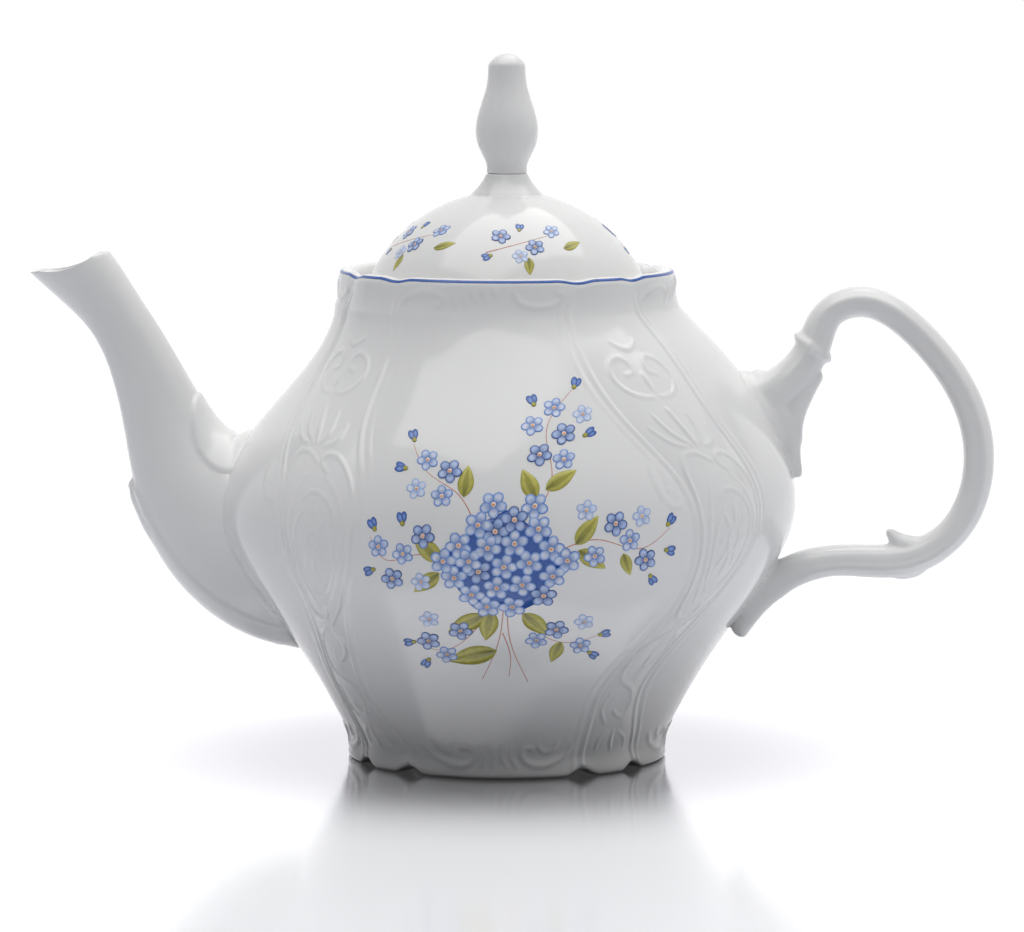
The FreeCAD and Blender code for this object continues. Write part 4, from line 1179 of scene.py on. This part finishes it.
def paint_posy(paints, canvas):
    """The close posy in the bouquet's middle, on a deep blue ground."""
    turns = full_turn(48)
    reach = POSY_RADIUS + 0.9 * np.sin(5 * turns) + 0.6 * np.sin(9 * turns + 1)
    ground = np.stack([reach * np.cos(turns), reach * np.sin(turns)], axis=1)
    paints["blue"].patch(canvas, [ground * size for size in (0.2, 0.4, 0.6, 0.8, 1.0)], 0.08, [DEEP_BLUE] * 6)
    for number, spot in enumerate(POSY):
        kind = "strong" if number % 6 == 4 else "open"
        paint_blossom(paints, canvas, spot, POSY_BLOSSOM, 0.8 * number, kind, POSY_LIFT + 0.02 * (number % 4))


# The rim line's section: turn about the rim's middle and height above its surface
LINE_SECTION = [(turn, 0.07) for turn in (29, 35, 41, 47, 53)] + [(57, -0.1), (41, -0.3), (25, -0.1)]


def rim_line():
    """The thin blue line on the rim's outer edge."""
    phi, dip, middle, half = rim_section()
    around = phi + turn_at(RIM_HEIGHT)
    rings = []
    for turn, lift in LINE_SECTION:
        turn = math.radians(turn)
        radius = middle + (half + lift) * math.cos(turn)
        height = RIM_HEIGHT - dip - RIM_ROUND + (RIM_ROUND + lift) * math.sin(turn)
        rings.append(np.stack([radius * np.cos(around), radius * np.sin(around), height], axis=1))
    return skin("rim_line", rings, capped=False)


# Looks

WHITE = (1, 1, 1, 1)
# Body under the glaze: its two tones and where they lie in the noise
BODY_TONES = ((0.3, (0.80, 0.80, 0.795, 1)), (0.7, (0.85, 0.85, 0.845, 1)))
# Changes with a value: where they start and end, and the results there
GLAZE_ROUGHNESS = (0, 1, 0.07, 0.14)
ENAMEL_ROUGHNESS = (0, 1, 0.16, 0.3)
BRUSH_DEPTH = (0, 1, 0.72, 1.25)
# Strength of the surroundings' light, by the height of its direction
SKY_STRENGTH = (0.5, 0.95, 0.04, 0.85)
SKY_COLOUR = (0.95, 0.965, 1, 1)
# Floor: half its width, its colours and shine, and the share of it that is matt
FLOOR_REACH = 4000
MIRROR_COLOUR, FLOOR_ROUGHNESS, FLOOR_MATT = (0.96, 0.96, 1, 1), 0.14, 0.16
FLOOR_TINT = (0.96, 0.975, 1.03)
# Mirror image fade, glow and thrown-up light, by metres from the pot's axis; the last two hold painted shade
# near the pot
MIRROR_FADE = (0.05, 0.15, 0.0, 0.45)
FLOOR_GLOW_WITH_PAINTED_SHADE = (0.05, 0.11, 0.03, 0.15)
PAINTED_SHADE_BOUNCE = (0.048, 0.125, 0.03, 0.9)
# Lamps: place, tilt and turn, width and depth, watts, and whether they are mirrored. Lengths are in metres
LAMP_COLOUR = (1.0, 0.99, 0.965)
LAMPS = {
    "overhead": ((0.02, 0.05, 1.25), (0.0, 45.0), (1.8, 1.1), 11.0, True),
    "right": ((1.5, -0.2, 0.8), (64.6, 82.4), (1.0, 0.9), 4.2, False),
}
# The photograph's camera: its place and what it looks at in metres, its lens and the width of its sensor
CAMERA_PLACE, CAMERA_TARGET = (0.0471, -1.3492, 0.226), (0.0014, 0, 0.080)
LENS, SENSOR, CLIP_END = 173.6, 36.0, 50


def feed(tree, node, inputs):
    """Sets a node's inputs to values, or links them to other nodes' outputs."""
    for name, value in inputs.items():
        if isinstance(value, bpy.types.NodeSocket):
            tree.links.new(value, node.inputs[name])
        else:
            node.inputs[name].default_value = value


def add_node(tree, kind, inputs, **settings):
    """A new shader node with its settings and inputs."""
    node = tree.nodes.new("ShaderNode" + kind)
    for name, value in settings.items():
        setattr(node, name, value)
    feed(tree, node, inputs)
    return node


def noise(tree, scale, detail=2):
    """Noise over an object's own coordinates."""
    place = add_node(tree, "TexCoord", {}).outputs["Object"]
    return add_node(tree, "TexNoise", {"Vector": place, "Scale": scale, "Detail": detail}).outputs["Fac"]


def change(tree, value, ends, kind="SMOOTHSTEP"):
    """A change with a value: where it starts and ends, and the results there."""
    inputs = dict(zip(("From Min", "From Max", "To Min", "To Max"), ends))
    inputs["Value"] = value
    return add_node(tree, "MapRange", inputs, interpolation_type=kind).outputs["Result"]


def seen_by(tree, *kinds):
    """1 where a ray is of one of these kinds, and 0 elsewhere."""
    rays = add_node(tree, "LightPath", {}).outputs
    share = rays[kinds[0]]
    for kind in kinds[1:]:
        share = add_node(tree, "Math", {0: share, 1: rays[kind]}, operation="MAXIMUM").outputs[0]
    return share


def mixed(tree, share, first, second):
    """A mix of two shaders, by the second one's share."""
    return add_node(tree, "MixShader", {"Fac": share, 1: first, 2: second}).outputs[0]


def new_material(name):
    """A material, its node tree and its shader."""
    material = bpy.data.materials.new(name)
    material.use_nodes = True
    tree = material.node_tree
    return material, tree, tree.nodes["Principled BSDF"]


def porcelain():
    """White glazed porcelain: a clear smooth glaze over a faintly uneven white body."""
    material, tree, shader = new_material("porcelain_glaze")
    cloud = noise(tree, 14, 4)
    tone = add_node(tree, "ValToRGB", {"Fac": cloud})
    for stop, (position, shade) in zip(tone.color_ramp.elements, BODY_TONES):
        stop.position, stop.color = position, shade
    bump = add_node(tree, "Bump", {"Height": noise(tree, 60), "Strength": 0.04, "Distance": 0.001})
    feed(tree, shader, {
        "Base Color": tone.outputs["Color"],
        "Roughness": change(tree, cloud, GLAZE_ROUGHNESS, "LINEAR"),
        "Normal": bump.outputs["Normal"],
        "IOR": 1.5,
        "Subsurface Weight": 0.1,
        "Subsurface Radius": (0.004, 0.0035, 0.003),
    })
    return material


def enamel(name, plain=None):
    """On-glaze colour: painted tones, a little uneven like brushed colour, under a soft shine."""
    material, tree, shader = new_material(name)
    grain = noise(tree, 700, 3)
    tones = plain
    if plain is None:
        tones = add_node(tree, "VertexColor", {}, layer_name="tone").outputs["Color"]
    depth = change(tree, grain, BRUSH_DEPTH, "LINEAR")
    tint = add_node(tree, "HueSaturation", {"Value": depth, "Color": tones}).outputs["Color"]
    shine = change(tree, grain, ENAMEL_ROUGHNESS, "LINEAR")
    feed(tree, shader, {"Base Color": tint, "Roughness": shine})
    return material


def make_world():
    """Surroundings that look white, and whose light comes mostly from overhead."""
    world = bpy.data.worlds.new("studio")
    bpy.context.scene.world = world
    world.use_nodes = True
    tree = world.node_tree
    tree.nodes.clear()
    seen = add_node(tree, "Background", {"Color": WHITE, "Strength": 1.0}).outputs[0]
    way = add_node(tree, "TexCoord", {}).outputs["Generated"]
    height = add_node(tree, "SeparateXYZ", {0: way}).outputs["Z"]
    strength = change(tree, height, SKY_STRENGTH)
    lit = add_node(tree, "Background", {"Color": SKY_COLOUR, "Strength": strength}).outputs[0]
    looking = seen_by(tree, "Is Camera Ray", "Is Glossy Ray", "Is Transmission Ray")
    add_node(tree, "OutputWorld", {"Surface": mixed(tree, looking, lit, seen)})


def make_floor():
    """A pale glossy floor, whose mirror image fades away from the pot, and whose colour and glow are darker
    near the pot: painted shade.
    """
    corners = [(x * FLOOR_REACH, y * FLOOR_REACH, 0) for x, y in ((-1, -1), (1, -1), (1, 1), (-1, 1))]
    floor = make_object("floor", corners, [(0, 1, 2, 3)])
    material, tree, shader = new_material("pale_floor")
    tree.nodes.remove(shader)
    place = add_node(tree, "TexCoord", {}).outputs["Object"]
    radius = add_node(tree, "VectorMath", {0: place}, operation="LENGTH").outputs["Value"]
    # The floor's colour drops near the pot: painted shade under and around it
    painted_shade_bounce = change(tree, radius, PAINTED_SHADE_BOUNCE)
    tint = add_node(tree, "VectorMath", {0: FLOOR_TINT, "Scale": painted_shade_bounce}, operation="SCALE").outputs["Vector"]
    matt = add_node(tree, "BsdfDiffuse", {"Color": tint}).outputs[0]
    gloss = add_node(tree, "BsdfGlossy", {"Color": MIRROR_COLOUR, "Roughness": FLOOR_ROUGHNESS}).outputs[0]
    glow = add_node(tree, "Emission", {"Color": WHITE}).outputs[0]
    # The glow is weaker near the pot: painted shade
    strength = change(tree, radius, FLOOR_GLOW_WITH_PAINTED_SHADE)
    lift = add_node(tree, "Emission", {"Color": WHITE, "Strength": strength}).outputs[0]
    mirror = mixed(tree, change(tree, radius, MIRROR_FADE), gloss, glow)
    lit = add_node(tree, "AddShader", {0: mixed(tree, FLOOR_MATT, mirror, matt), 1: lift}).outputs[0]
    surface = mixed(tree, seen_by(tree, "Is Camera Ray", "Is Glossy Ray"), matt, lit)
    feed(tree, tree.nodes["Material Output"], {"Surface": surface})
    floor.data.materials.append(material)


def make_lamps():
    """Soft lamps from above and from the right."""
    for name, (spot, (tilt, turn), (width, depth), power, mirrored) in LAMPS.items():
        light = bpy.data.lights.new(name, "AREA")
        light.shape = "RECTANGLE"
        light.size, light.size_y, light.energy = width, depth, power
        light.color = LAMP_COLOUR
        lamp = bpy.data.objects.new(name, light)
        bpy.context.scene.collection.objects.link(lamp)
        lamp.location = spot
        lamp.rotation_euler = (math.radians(tilt), 0, math.radians(turn))
        lamp.visible_glossy = mirrored


def make_camera():
    """The photograph's camera."""
    lens = bpy.data.cameras.new("camera")
    lens.lens, lens.sensor_width, lens.sensor_fit = LENS, SENSOR, "HORIZONTAL"
    lens.clip_end = CLIP_END
    camera = bpy.data.objects.new("camera", lens)
    bpy.context.scene.collection.objects.link(camera)
    camera.location = CAMERA_PLACE
    camera.rotation_euler = (Vector(CAMERA_TARGET) - camera.location).to_track_quat("-Z", "Y").to_euler()
    bpy.context.scene.camera = camera


def settle_in(piece, body, material, slot, *nodes):
    """Gives a piece its material and body, and hides the CAD nodes that it stands for. The slot is not used.
    """
    piece.data.materials.clear()
    piece.data.materials.append(material)
    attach(piece, body)
    if nodes:
        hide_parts(*nodes)


# Facings and heights of the flowers, and the size of the lid's
BOUQUET_FACINGS, BOUQUET_HEIGHT = (-88.5, 91.5), 62.0
LID_FACINGS, LID_SPRAY_HEIGHT, LID_SPRAY_SIZE = (-82, -150, 150, 90, 10), 143.0, 0.8

bpy.context.scene.view_settings.view_transform = "Standard"
make_world()
make_floor()
make_lamps()
make_camera()
glaze = porcelain()
pot = make_pot()
drill_strainer(pot)
settle_in(pot, "pot", glaze, "porcelain", "pot_body")
settle_in(make_spout(), "pot", glaze, "porcelain", "spout")
settle_in(make_handle(), "pot", glaze, "porcelain", "handle")
settle_in(make_lid(), "lid", glaze, "porcelain", "lid")
settle_in(make_knob(), "lid", glaze, "porcelain", "lid_knob")

painted = enamel("painted_enamel")
settle_in(rim_line(), "pot", enamel("rim_enamel", DEEP_BLUE), "blue_enamel")
for body, prefix in (("pot", "bouquet"), ("lid", "lid_spray")):
    paints = {"blue": Paint(), "leaf": Paint(), "rose": Paint()}
    if body == "pot":
        for facing in BOUQUET_FACINGS:
            canvas = pot_canvas(facing, BOUQUET_HEIGHT)
            paint_posy(paints, canvas)
            paint_sprays(paints, canvas, SPRAYS, 1.0)
    else:
        for facing in LID_FACINGS:
            paint_sprays(paints, lid_canvas(facing, LID_SPRAY_HEIGHT), LID_SPRAY, LID_SPRAY_SIZE)
    for family, paint in paints.items():
        settle_in(paint.piece(prefix + "_" + family), body, painted, family + "_enamel")
